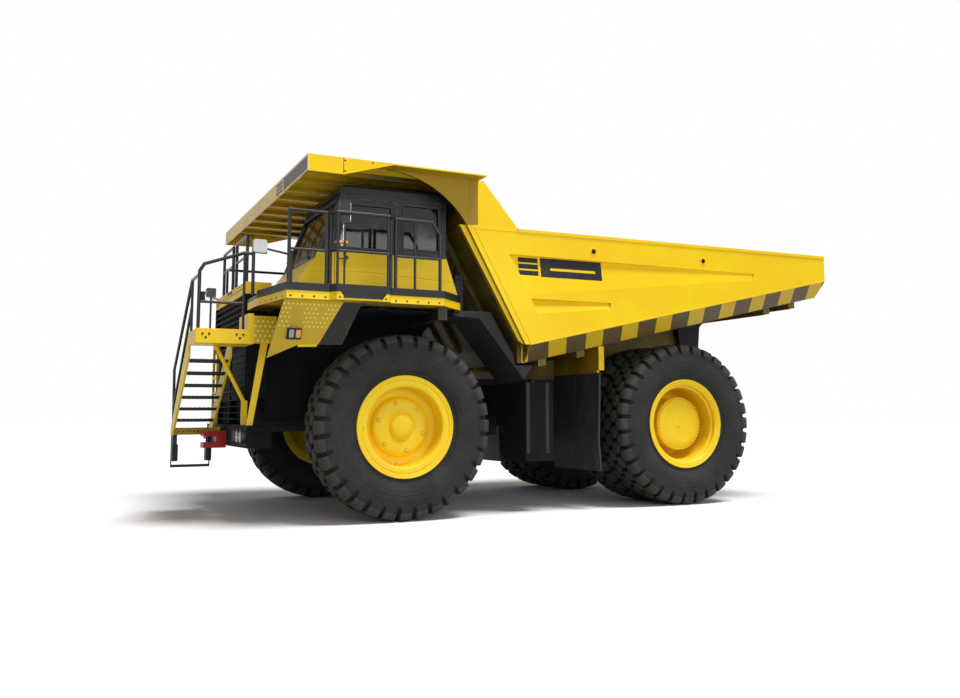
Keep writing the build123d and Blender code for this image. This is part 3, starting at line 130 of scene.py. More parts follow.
class Graph:
    """Node graph of one material, or of the world."""

    def __init__(self, name: str, world: Optional[bpy.types.World] = None) -> None:
        """Empties the graph of a new material of that name, or of the world."""
        self.material = world or bpy.data.materials.new(name)
        self.material.use_nodes = True
        self.tree = self.material.node_tree
        self.tree.nodes.clear()

    def node(self, kind: str, settings: dict, feeds: dict, out: Union[int, str] = 0) -> Socket:
        """Adds one node.

        Args:
            kind: the node's type.
            settings: the node's properties.
            feeds: value or socket for each input, by number or name.
            out: the output wanted.
        Returns:
            That output as a Socket.
        """
        made = self.tree.nodes.new(kind)
        for key, value in settings.items():
            setattr(made, key, value)
        for key, value in feeds.items():
            self.feed(made.inputs[key], value)
        return Socket(self, made.outputs[out])

    def feed(self, socket: bpy.types.NodeSocket, value: Value) -> None:
        """Links a Socket to an input, or writes a value there."""
        if isinstance(value, Socket):
            self.tree.links.new(value.out, socket)
        elif isinstance(value, (tuple, list)) and socket.type == "RGBA":
            socket.default_value = (*value[:3], 1.0)
        else:
            socket.default_value = value

    def place(self) -> Socket:
        """Object coordinates, which are the truck's own frame."""
        return self.node("ShaderNodeTexCoord", {}, {}, "Object")

    def axes(self, vector: Socket) -> tuple[Socket, Socket, Socket]:
        """The three parts of a vector."""
        split = self.tree.nodes.new("ShaderNodeSeparateXYZ")
        self.feed(split.inputs[0], vector)
        return tuple(Socket(self, split.outputs[i]) for i in range(3))

    def stretch(self, vector: Socket, scale: RGB) -> Socket:
        """A vector scaled by axis."""
        return self.node("ShaderNodeVectorMath", {"operation": "MULTIPLY"}, {0: vector, 1: scale})

    def mix(self, factor: Value, first: Value, second: Value) -> Socket:
        """Two colours mixed by a factor."""
        return self.node("ShaderNodeMix", {"data_type": "RGBA"}, {0: factor, 6: first, 7: second},
                         2)

    def noise(self, vector: Socket, scale: float, detail: float = 3.0,
              rough: float = 0.55) -> Socket:
        """Fractal noise about 0.5."""
        return self.node("ShaderNodeTexNoise", {},
                         {"Vector": vector, "Scale": scale, "Detail": detail, "Roughness": rough})

    def facing(self) -> tuple[Socket, Socket, Socket]:
        """How far a face looks forward, left and up, each from -1 to 1."""
        return self.axes(self.node("ShaderNodeNewGeometry", {}, {}, "Normal"))

    @staticmethod
    def staggered(across: Socket, rows: Socket, pitch: float) -> Socket:
        """Distance to the nearest point of a grid whose every second row is half a pitch off."""
        shift = (((rows / pitch) % 2.0) > 1.0) * (pitch / 2)
        return (((across + shift) % pitch) - pitch / 2).hypot((rows % pitch) - pitch / 2)

    def edge(self, radius: float) -> Socket:
        """1 near convex and concave edges and 0 on flat faces, from the rounded normal."""
        soft = self.node("ShaderNodeBevel", {"samples": 4}, {"Radius": radius})
        hard = self.node("ShaderNodeNewGeometry", {}, {}, "True Normal")
        dot = self.node("ShaderNodeVectorMath", {"operation": "DOT_PRODUCT"}, {0: soft, 1: hard},
                        "Value")
        return (1.0 - dot).ease(0.01, 0.22)

    def bump(self, height: Socket, distance: float) -> Socket:
        """Normal bent by a height in metres times distance."""
        return self.node("ShaderNodeBump", {},
                         {"Height": height, "Distance": distance, "Strength": 1.0}, "Normal")

    def surface(self, constants: dict, feeds: dict) -> bpy.types.Material:
        """Closes the graph with one Principled shader.

        Args:
            constants: numbers and colours for its sockets.
            feeds: what changes over the surface.
        Returns:
            The finished material.
        """
        shader = self.node("ShaderNodeBsdfPrincipled", {}, {**constants, **feeds}, "BSDF")
        self.output(shader)
        return self.material

    def output(self, shader: Socket) -> None:
        """Links a shader to the material's output."""
        end = self.tree.nodes.new("ShaderNodeOutputMaterial")
        self.tree.links.new(shader.out, end.inputs["Surface"])


# ---- finishes ----------------------------------------------------------------------------
@dataclass(frozen=True)
class Finish:
    """A finish: the name of its material and the record's slot it belongs to."""

    name: str
    slot: str

    def make(self) -> bpy.types.Material:
        """The finish as a material."""
        raise NotImplementedError


@dataclass(frozen=True)
class Paint(Finish):
    """Sprayed machine paint with drifted tone, settled dust, rain streaks and edges paled by wear
    and a painted highlight.
    """

    colour: RGB = (0.96, 0.68, 0.004)
    shade: RGB = (0.93, 0.60, 0.004)
    dust: RGB = (0.60, 0.40, 0.16)
    # edge colour: partly rubbed wear, partly a painted highlight
    edge_wear_and_highlight: RGB = (0.97, 0.78, 0.16)
    roughness: float = 0.42
    coat: float = 0.06
    dusty: float = 0.2
    mud: float = 0.3
    edge_wear_and_highlight_amount: float = 0.4
    relief: float = 0.0006
    shine: float = 0.25

    def pattern(self, g: Graph, place: Socket, colour: Socket) -> Socket:
        """Hook for bands and panels painted over the ground colour."""
        return colour

    def heights(self, g: Graph, place: Socket) -> Optional[Socket]:
        """Hook for extra relief, in units of the relief depth."""
        return None

    def rubbed(self, g: Graph, place: Socket, colour: Socket, inside: Socket) -> Socket:
        """Load-worn faces: paint rubbed through to brown steel in streaks along the body.

        Args:
            g: the graph.
            place: object coordinates.
            colour: the paint so far.
            inside: 1 where the load slides.
        Returns:
            The paint with the worn steel showing.
        """
        streaks = g.noise(g.stretch(place, (0.8, 4.0, 3.0)), 1.6, 5.0, 0.68).ease(0.42, 0.62)
        steel = g.mix(g.noise(place, 12.0, 3.0), (0.26, 0.20, 0.13), (0.42, 0.38, 0.33))
        return g.mix(inside * (streaks * 0.28 + 0.04), colour, steel)

    def make(self) -> bpy.types.Material:
        """Ground colour, pattern, dust on upper faces and low down, streaks, edges, relief."""
        g = Graph(self.name)
        place = g.place()
        height_up = g.axes(place)[2]
        broad = g.noise(place, 0.9, 2.0)
        fine = g.noise(place, 14.0, 4.0, 0.6)
        colour = g.mix(broad.ease(0.35, 0.68), self.shade, self.colour)
        colour = self.pattern(g, place, colour)
        # Paler edges: partly rubbed wear, partly a painted highlight along every edge.
        edge = g.edge(0.012)
        colour = g.mix(edge * fine.ease(0.42, 0.6) * self.edge_wear_and_highlight_amount, colour, self.edge_wear_and_highlight)
        streak = g.noise(g.stretch(place, (7.0, 7.0, 0.45)), 1.0, 3.0, 0.6).ease(0.56, 0.74)
        upward = g.facing()[2].ease(0.25, 0.95)
        settled = upward * broad.ease(0.3, 0.7) * self.dusty + streak * (0.35 * self.dusty)
        settled = settled.low(1.0)
        low_down = 1.0 - (height_up + fine * 0.5).ease(0.55, 2.3)
        splash = low_down * g.noise(place, 5.0, 4.0, 0.65).ease(0.4, 0.68)
        grime_and_shade = (settled + splash * self.mud + fine.ease(0.66, 0.72) * (0.25 * self.dusty)).low(0.9)
        colour = g.mix(grime_and_shade, colour, self.dust)
        rough = grime_and_shade * 0.4 + fine * 0.12 + (self.roughness - 0.06)
        height = g.noise(place, 160.0, 2.0) * 0.35 + g.noise(place, 2.2, 1.0) * 2.0 + fine * 0.3
        extra = self.heights(g, place)
        if extra is not None:
            height = height + extra
        return g.surface({"Coat Weight": self.coat, "Coat Roughness": 0.12, "IOR": 1.48,
                          "Specular IOR Level": self.shine},
                         {"Base Color": colour, "Roughness": rough,
                          "Normal": g.bump(height, self.relief)})


@dataclass(frozen=True)
class HazardPaint(Paint):
    """Load body paint: hazard bands along the sloped underside, a striped plate on each side,
    painted shade.

    The underside's edge has height low at x = start and falls by rise for each metre forwards.
    Fields ending in _y are distances from the truck's middle where an effect starts or stops.
    """

    rise: float = 0.2181
    low: float = 2.541
    start: float = 0.675
    pitch: float = 0.675
    ink: RGB = (0.060, 0.040, 0.012)
    # painted shade colours: the banded skirt, faces under the body, faces that look forward
    shaded: RGB = (0.46, 0.29, 0.008)
    grime_and_shade: RGB = (0.045, 0.030, 0.010)
    painted_front_shade: RGB = (0.10, 0.062, 0.018)
    decal: RGB = (0.012, 0.012, 0.018)
    plate_x: tuple[float, float] = (-0.61, 0.87)
    plate_z: tuple[float, float] = (3.585, 3.885)
    belly_y: float = 2.50
    load_y: float = 2.66
    skirt_y: float = 2.47
    wall_y: float = 2.64
    load_top: float = 4.2

    def pattern(self, g: Graph, place: Socket, colour: Socket) -> Socket:
        """Bands lean with the distance below the side's edge; painted shade darkens the belly,
        skirt and fronts.
        """
        x, y, z = g.axes(place)
        nx, ny, nz = g.facing()
        under = z - ((self.start - x) * self.rise + self.low)
        # Painted shade: faces under the body turn dark, with a faint veil of noise.
        belly = (abs(y) < self.belly_y) * (under < -0.02) * (nz < 0.5)
        veil = g.noise(place, 1.6, 3.0).ease(0.3, 0.7)
        colour = g.mix(belly * (veil * 0.12 + 0.82), colour, self.grime_and_shade)
        load = (abs(y) < self.load_y) * (ny * y < -0.05).high(nz > 0.6) * (z < self.load_top)
        colour = self.rubbed(g, place, colour, load)
        # Painted shade on faces that look forward.
        colour = g.mix((nx > 0.3) * 0.9, colour, self.painted_front_shade)
        band = (abs(y) > self.skirt_y) * (under < -0.004) * (ny * y > 0.05)
        stripe = ((x - under * 0.5 + 0.291) % self.pitch).within(0.0, self.pitch * 0.53) * band
        tired = g.noise(place, 9.0, 4.0, 0.7).ease(0.66, 0.74)
        # Painted shade on the banded skirt under the side's edge.
        colour = g.mix(band * 0.6, colour, self.shaded)
        colour = g.mix(stripe * (0.96 - tired * 0.35), colour, self.ink)
        (x0, x1), (z0, z1) = self.plate_x, self.plate_z
        side = (abs(y) > self.wall_y) * (ny * y > 0.05) * z.within(z0, z1)
        bars = x.within(x1 - 0.34, x1) * ((z - z0) % 0.1).within(0.012, 0.088)
        line = x.within(x0 + 0.12, x1 - 0.55) * z.within(z0 + 0.11, z0 + 0.15)
        sign = (x.within(x0, x1 - 0.38) * (1.0 - line)).high(bars)
        return g.mix(side * sign, colour, self.decal)


@dataclass(frozen=True)
class CanopyPaint(Paint):
    """Canopy paint: pale dust and painted sheen on the front flange, a striped plate, painted shade
    below.
    """

    front: float = 4.185
    # pale patch colour: dust and a painted sky sheen on the front flange
    dust_and_sheen: RGB = (0.80, 0.66, 0.34)
    # painted shade colours: near black inside the canopy, ochre under the flange
    soot_and_shade: RGB = (0.014, 0.011, 0.007)
    ochre: RGB = (0.26, 0.145, 0.006)
    rivets: tuple[tuple[float, float], ...] = ((3.695, 4.945), (3.695, 4.80), (3.30, 4.955))
    ink: RGB = (0.010, 0.010, 0.012)
    gusset_y: tuple[float, float] = (2.70, 2.76)
    inner_y: float = 2.74
    flange_y: float = 3.0
    seam_x: float = 3.715
    plate_z: tuple[float, float] = (4.775, 4.955)

    def pattern(self, g: Graph, place: Socket, colour: Socket) -> Socket:
        """Pale patches and a striped plate in front, painted shade inside and below, a seam and
        rivets on the side.
        """
        x, y, z = g.axes(place)
        patch = g.noise(place, 1.3, 3.0).ease(0.3, 0.55)
        flange = x > self.front
        # Pale patches on the front flange: partly dust, partly a painted sky sheen.
        colour = g.mix(flange * patch * 0.55, colour, self.dust_and_sheen)
        bars = y.within(1.2, 1.6) * ((z - self.plate_z[0]) % 0.06).within(0.006, 0.050)
        plate = flange * z.within(*self.plate_z) * y.within(1.65, self.flange_y).high(bars)
        # Painted shade: ochre on the gusset and under the flange; inside near black, darker towards
        # the back.
        _, ny, nz = g.facing()
        below = nz < -0.25
        back = 1.0 - x.ease(2.9, 4.1)
        gusset = abs(y).within(*self.gusset_y) * (abs(ny) > 0.7)
        painted_shade = (gusset * 0.85).high(below * (abs(y) > self.inner_y) * 0.75)
        colour = g.mix(painted_shade, colour, self.ochre)
        inner = (abs(y) < self.inner_y) * (x < 4.17) * (nz < 0.5) * (z < 4.965)
        colour = g.mix(inner * 0.45, colour, self.ochre)
        colour = g.mix(inner * (back * 0.88 + 0.08) * (patch * 0.12 + 0.88), colour, self.soot_and_shade)
        end = abs(y) > self.flange_y
        seam = end * (x - self.seam_x).within(-0.005, 0.005) * (z > 4.76)
        for rivet_x, rivet_z in self.rivets:
            seam = seam.high(end * ((x - rivet_x).hypot(z - rivet_z) < 0.013))
        seam = seam.high(flange * y.within(-0.026, -0.018))
        return g.mix(seam.high(plate), colour, self.ink)


@dataclass(frozen=True)
class SootAndShadePaint(Paint):
    """Headboard paint: faces turned to the cab and the ribs there are brown-black, soot and painted
    shade.
    """

    # colours of soot with painted shade: brown-black, and ochre towards the side walls
    soot_and_shade: RGB = (0.024, 0.017, 0.010)
    ochre: RGB = (0.22, 0.13, 0.015)
    rib_y: float = 2.60
    rib_x: float = 0.72
    load_y: float = 2.66
    load_top: float = 4.3
    wing: RGB = (1.57, 2.70, 4.28)

    def pattern(self, g: Graph, place: Socket, colour: Socket) -> Socket:
        """Soot and painted shade lie on faces that look forward or down and thin towards the side
        walls.
        """
        x, y, z = g.axes(place)
        nx, ny, nz = g.facing()
        ribs = (abs(y) < self.rib_y) * (x > self.rib_x) * (abs(ny) > 0.6)
        turned = (nx > 0.15).high(nz < -0.3).high(ribs)
        rim = abs(y).ease(self.rib_y, self.load_y)
        veil = g.noise(place, 2.0, 4.0, 0.6).ease(0.3, 0.75)
        load = (nx < -0.2) * (abs(y) < self.load_y) * (z < self.load_top)
        colour = self.rubbed(g, place, colour, load)
        # Painted shade on the wing below the canopy's overhang.
        wing_x, wing_y, wing_z = self.wing
        wing = (abs(y) > wing_y) * (ny * y > 0.05) * (x > wing_x) * (z > wing_z)
        colour = g.mix(wing * 0.85, colour, self.ochre)
        # Soot with painted shade on faces turned to the cab and on the ribs.
        return g.mix(turned * (0.97 - veil * 0.12), colour, g.mix(rim, self.soot_and_shade, self.ochre))


@dataclass(frozen=True)
class CabPaint(Paint):
    """Cab paint: yellow below the sills, black pillars and roof above."""

    sill: float = 3.80
    grooves: tuple[float, float] = (3.52, 3.30)
    door_x: float = 3.2
    black: RGB = (0.018, 0.019, 0.021)

    def pattern(self, g: Graph, place: Socket, colour: Socket) -> Socket:
        """Black above the sill line."""
        return g.mix(g.axes(place)[2] > self.sill, colour, self.black)

    def heights(self, g: Graph, place: Socket) -> Socket:
        """Two pressed grooves along the lower panel, the upper one bent about the door."""
        x, _, z = g.axes(place)
        upper_z, lower_z = self.grooves
        upper = 1.0 - abs(z - upper_z + abs(x - self.door_x) * 0.05).ease(0.0, 0.018)
        lower = 1.0 - abs(z - lower_z).ease(0.0, 0.012)
        return (upper + lower) * -9.0


@dataclass(frozen=True)
class DeckPaint(Paint):
    """Deck paint: yellow fascia, black anti-slip top with grit, painted shade and bright dots on
    the underside.
    """

    top: float = 3.2
    curb: float = 0.052
    pitch: float = 0.062
    dot: float = 0.011
    grit: RGB = (0.022, 0.022, 0.024)
    # painted shade colours of the underside: near black, and ochre at the outer front
    shaded: RGB = (0.02, 0.018, 0.012)
    ochre: RGB = (0.40, 0.25, 0.01)

    def pattern(self, g: Graph, place: Socket, colour: Socket) -> Socket:
        """The walking surface is dark grit; the underside has painted shade and dots of painted
        light.
        """
        x, y, z = g.axes(place)
        speck = g.noise(place, 90.0, 2.0).ease(0.4, 0.7)
        dark = g.mix(speck, self.grit, (0.07, 0.07, 0.07))
        under = g.facing()[2] < -0.5
        dot = (g.staggered(y, x, self.pitch) < self.dot) * under * (abs(y) > 2.05)
        # Painted shade on the underside: ochre at the outer front, near black elsewhere.
        shade = g.mix((abs(y) > 2.0) * (x > 3.4), self.shaded, self.ochre)
        colour = g.mix(under * 0.8, colour, shade)
        # Bright dots: painted light seen through the deck's holes.
        colour = g.mix(dot, colour, (0.95, 0.72, 0.10))
        return g.mix(z > self.top - self.curb, colour, dark)

    def heights(self, g: Graph, place: Socket) -> Socket:
        """Grit stands up on the walking surface."""
        upper = g.axes(place)[2] > self.top - self.curb
        return g.noise(place, 200.0, 2.0).ease(0.4, 0.6) * upper * 2.0


@dataclass(frozen=True)
class PanelPaint(Paint):
    """Lamp panel paint: bright dots of painted light near the top, black painted shadow behind a
    slanting line.
    """

    hole_z: tuple[float, float] = (2.68, 3.01)
    pitch: float = 0.058
    dot: float = 0.011
    line: tuple[float, float] = (3.629, 2.981)
    slant: float = 0.4857
    # colour of the painted shadow behind the slanting line
    black: RGB = (0.012, 0.012, 0.012)

    def pattern(self, g: Graph, place: Socket, colour: Socket) -> Socket:
        """Dots near the points of a staggered grid; the line leans by slant through its point."""
        x, _, z = g.axes(place)
        edge = x - ((self.line[1] - z) * self.slant + self.line[0])
        groups = x.within(3.93, 4.14).high(edge.within(0.03, 0.17))
        groups = groups.high(z > 2.94).high(x.within(4.30, 4.45))
        near = g.staggered(x, z, self.pitch) < self.dot
        dot = near * z.within(*self.hole_z) * groups * (x > 3.0)
        # Bright dots: painted light seen through the panel's holes.
        colour = g.mix(dot, colour, (0.98, 0.80, 0.22))
        # Painted shadow: black behind the slanting line, where the panel lies in shade.
        return g.mix(edge < 0.0, colour, self.black)


@dataclass(frozen=True)
class PunchedPaint(Paint):
    """Painted sheet with staggered round dots standing for holes, on faces that look left, right or
    up.
    """

    pitch: float = 0.056
    # hole colour: dark for painted shade inside holes, bright for painted light through them
    hole: RGB = (0.03, 0.022, 0.01)

    def pattern(self, g: Graph, place: Socket, colour: Socket) -> Socket:
        """A dot is where the distance to the nearest point of a staggered grid is small."""
        x, y, z = g.axes(place)
        rows = z + y * (abs(g.facing()[2]) > 0.7)
        return g.mix(g.staggered(x, rows, self.pitch) < self.pitch * 0.24, colour, self.hole)


@dataclass(frozen=True)
class HangerPaint(Paint):
    """Flap hanger paint: painted shade on the faces that look forward or back, clean on the sides.
    """

    # painted shade colour of the faces that look forward, back or down
    grime_and_shade: RGB = (0.16, 0.095, 0.012)

    def pattern(self, g: Graph, place: Socket, colour: Socket) -> Socket:
        """Painted shade where the normal leans along x or down."""
        nx, _, nz = g.facing()
        veil = g.noise(place, 2.5, 3.0).ease(0.3, 0.7)
        # Painted shade with a faint veil of noise.
        return g.mix((abs(nx) > 0.5).high(nz < -0.5) * (veil * 0.15 + 0.8), colour, self.grime_and_shade)


@dataclass(frozen=True)
class Rubber(Finish):
    """Tyre rubber with fine rings on the sidewall, paler block tops and painted shade in the
    grooves.
    """

    colour: RGB = (0.020, 0.021, 0.022)
    dust: RGB = (0.075, 0.069, 0.060)

    def make(self) -> bpy.types.Material:
        """Block tops are paler, partly dust and partly painted light; grooves get painted shade;
        rings are a wave along the section.
        """
        g = Graph(self.name)
        place = g.place()
        groove = g.node("ShaderNodeAttribute", {"attribute_name": "groove"}, {}, "Fac")
        along = g.node("ShaderNodeAttribute", {"attribute_name": "along"}, {}, "Fac")
        broad = g.noise(place, 3.0, 3.0).ease(0.35, 0.7)
        fine = g.noise(place, 40.0, 4.0, 0.65)
        tread = along.within(0.27, 0.73)
        # Paler block tops in the tread: partly dust, partly painted light.
        dust = (broad * 0.3 + tread * (1.0 - groove) * 0.55 + fine.ease(0.5, 0.75) * 0.35).low(1.0)
        colour = g.mix(dust * 0.8, self.colour, self.dust)
        # Painted shade: near black in the tread's grooves.
        colour = g.mix(tread * groove * 0.7, colour, (0.006, 0.006, 0.006))
        rings = 1.0 - abs((along * 26.0) % 1.0 - 0.5).ease(0.0, 0.2)
        wall = along.within(0.02, 0.36).high(along.within(0.64, 0.98))
        height = rings * wall * 2.0 + fine * 2.0 + g.noise(place, 160.0, 2.0)
        rough = fine * 0.2 + 0.62
        return g.surface({"IOR": 1.45, "Specular IOR Level": 0.22},
                         {"Base Color": colour, "Roughness": rough,
                          "Normal": g.bump(height, 0.0012)})


@dataclass(frozen=True)
class Sheetlike(Finish):
    """Matt rubber or plastic sheet with scuffs."""

    colour: RGB = (0.03, 0.03, 0.031)
    scuff: RGB = (0.10, 0.095, 0.09)
    roughness: float = 0.6
    grain: float = 120.0

    def make(self) -> bpy.types.Material:
        """Soft scuffs and dust over a grained surface."""
        g = Graph(self.name)
        place = g.place()
        fine = g.noise(place, 30.0, 5.0, 0.65)
        marks = g.noise(g.stretch(place, (3.0, 3.0, 0.8)), 2.0, 4.0, 0.7).ease(0.45, 0.8)
        colour = g.mix(marks * 0.6 + fine.ease(0.6, 0.8) * 0.25, self.colour, self.scuff)
        height = g.noise(place, self.grain, 2.0) + fine
        return g.surface({"IOR": 1.45, "Specular IOR Level": 0.3},
                         {"Base Color": colour, "Roughness": fine * 0.25 + self.roughness - 0.12,
                          "Normal": g.bump(height, 0.0008)})


@dataclass(frozen=True)
class Metal(Finish):
    """Bare or plated metal, brushed along z, with smears of oil."""

    colour: RGB = (0.72, 0.72, 0.74)
    smear: RGB = (0.30, 0.29, 0.28)
    roughness: float = 0.16
    metallic: float = 1.0

    def make(self) -> bpy.types.Material:
        """Smears darken and roughen the metal; fine lines run along it."""
        g = Graph(self.name)
        place = g.place()
        smear = g.noise(place, 6.0, 4.0, 0.6).ease(0.45, 0.75)
        lines = g.noise(g.stretch(place, (60.0, 60.0, 1.5)), 4.0, 2.0)
        colour = g.mix(smear * 0.6, self.colour, self.smear)
        rough = smear * 0.25 + lines * 0.08 + self.roughness
        return g.surface({"Metallic": self.metallic}, {"Base Color": colour, "Roughness": rough,
                                                       "Normal": g.bump(lines, 0.0004)})


@dataclass(frozen=True)
class Glazing(Finish):
    """Smoke-tinted safety glass with patchy dust and a painted sky reflection at the windscreen's
    foot.
    """

    tint: RGB = (0.06, 0.075, 0.078)
    # colour of the painted sky reflection
    sky: RGB = (0.40, 0.47, 0.52)
    clear: float = 0.86
    screen_x: float = 3.52

    def make(self) -> bpy.types.Material:
        """Dust greys the glass in patches; a painted sky reflection grows towards the windscreen's
        foot.
        """
        g = Graph(self.name)
        place = g.place()
        x, y, z = g.axes(place)
        film = g.noise(place, 2.4, 4.0, 0.6).ease(0.45, 0.8)
        colour = g.mix(film * 0.25, self.tint, (0.30, 0.30, 0.28))
        glass = g.node("ShaderNodeBsdfPrincipled", {},
                       {"Transmission Weight": self.clear, "IOR": 1.45, "Specular IOR Level": 0.6,
                        "Base Color": colour, "Roughness": film * 0.12 + 0.03}, "BSDF")
        # Painted reflection: a sky-tinted mirror, mixed in towards the windscreen's foot.
        painted_sky_sheen = g.node("ShaderNodeBsdfPrincipled", {},
                      {"Metallic": 1.0, "Roughness": 0.16,
                       "Base Color": g.mix(film, self.sky, (0.75, 0.78, 0.80))}, "BSDF")
        foot = 1.0 - (z + y * 0.25 + film * 0.1).ease(4.2, 4.9)
        pale = foot * (x > self.screen_x) * 0.42 + film * 0.03
        g.output(g.node("ShaderNodeMixShader", {}, {0: pale, 1: glass, 2: painted_sky_sheen}))
        return g.material


@dataclass(frozen=True)
class Lens(Finish):
    """Moulded lamp lens: ribs in front of a bright reflector."""

    colour: RGB = (0.34, 0.35, 0.36)
    ribs: float = 90.0

    def make(self) -> bpy.types.Material:
        """Upright ribs as a wave along x and y, under a gloss coat."""
        g = Graph(self.name)
        place = g.place()
        x, y, _ = g.axes(place)
        rib = abs(((x + y) * self.ribs) % 1.0 - 0.5) * 2.0
        fine = g.noise(place, 20.0, 3.0)
        colour = g.mix(rib * 0.35 + fine * 0.1, self.colour, tuple(c * 0.45 for c in self.colour))
        return g.surface({"Coat Weight": 0.8, "Coat Roughness": 0.04, "Specular IOR Level": 0.7},
                         {"Base Color": colour, "Roughness": fine * 0.1 + 0.12,
                          "Normal": g.bump(rib, 0.002)})


@dataclass(frozen=True)
class Cloth(Finish):
    """Woven seat cloth."""

    colour: RGB = (0.07, 0.07, 0.085)
    thread: RGB = (0.16, 0.16, 0.18)

    def make(self) -> bpy.types.Material:
        """Two crossed waves give the weave."""
        g = Graph(self.name)
        place = g.place()
        x, y, z = g.axes(place)
        weave = abs(((x + z) * 160.0) % 1.0 - 0.5) * abs((y * 160.0) % 1.0 - 0.5) * 4.0
        fade = g.noise(place, 4.0, 3.0).ease(0.3, 0.7)
        colour = g.mix(weave * 0.7 + fade * 0.2, self.colour, self.thread)
        return g.surface({"Sheen Weight": 0.3, "Roughness": 0.85},
                         {"Base Color": colour, "Normal": g.bump(weave, 0.0015)})


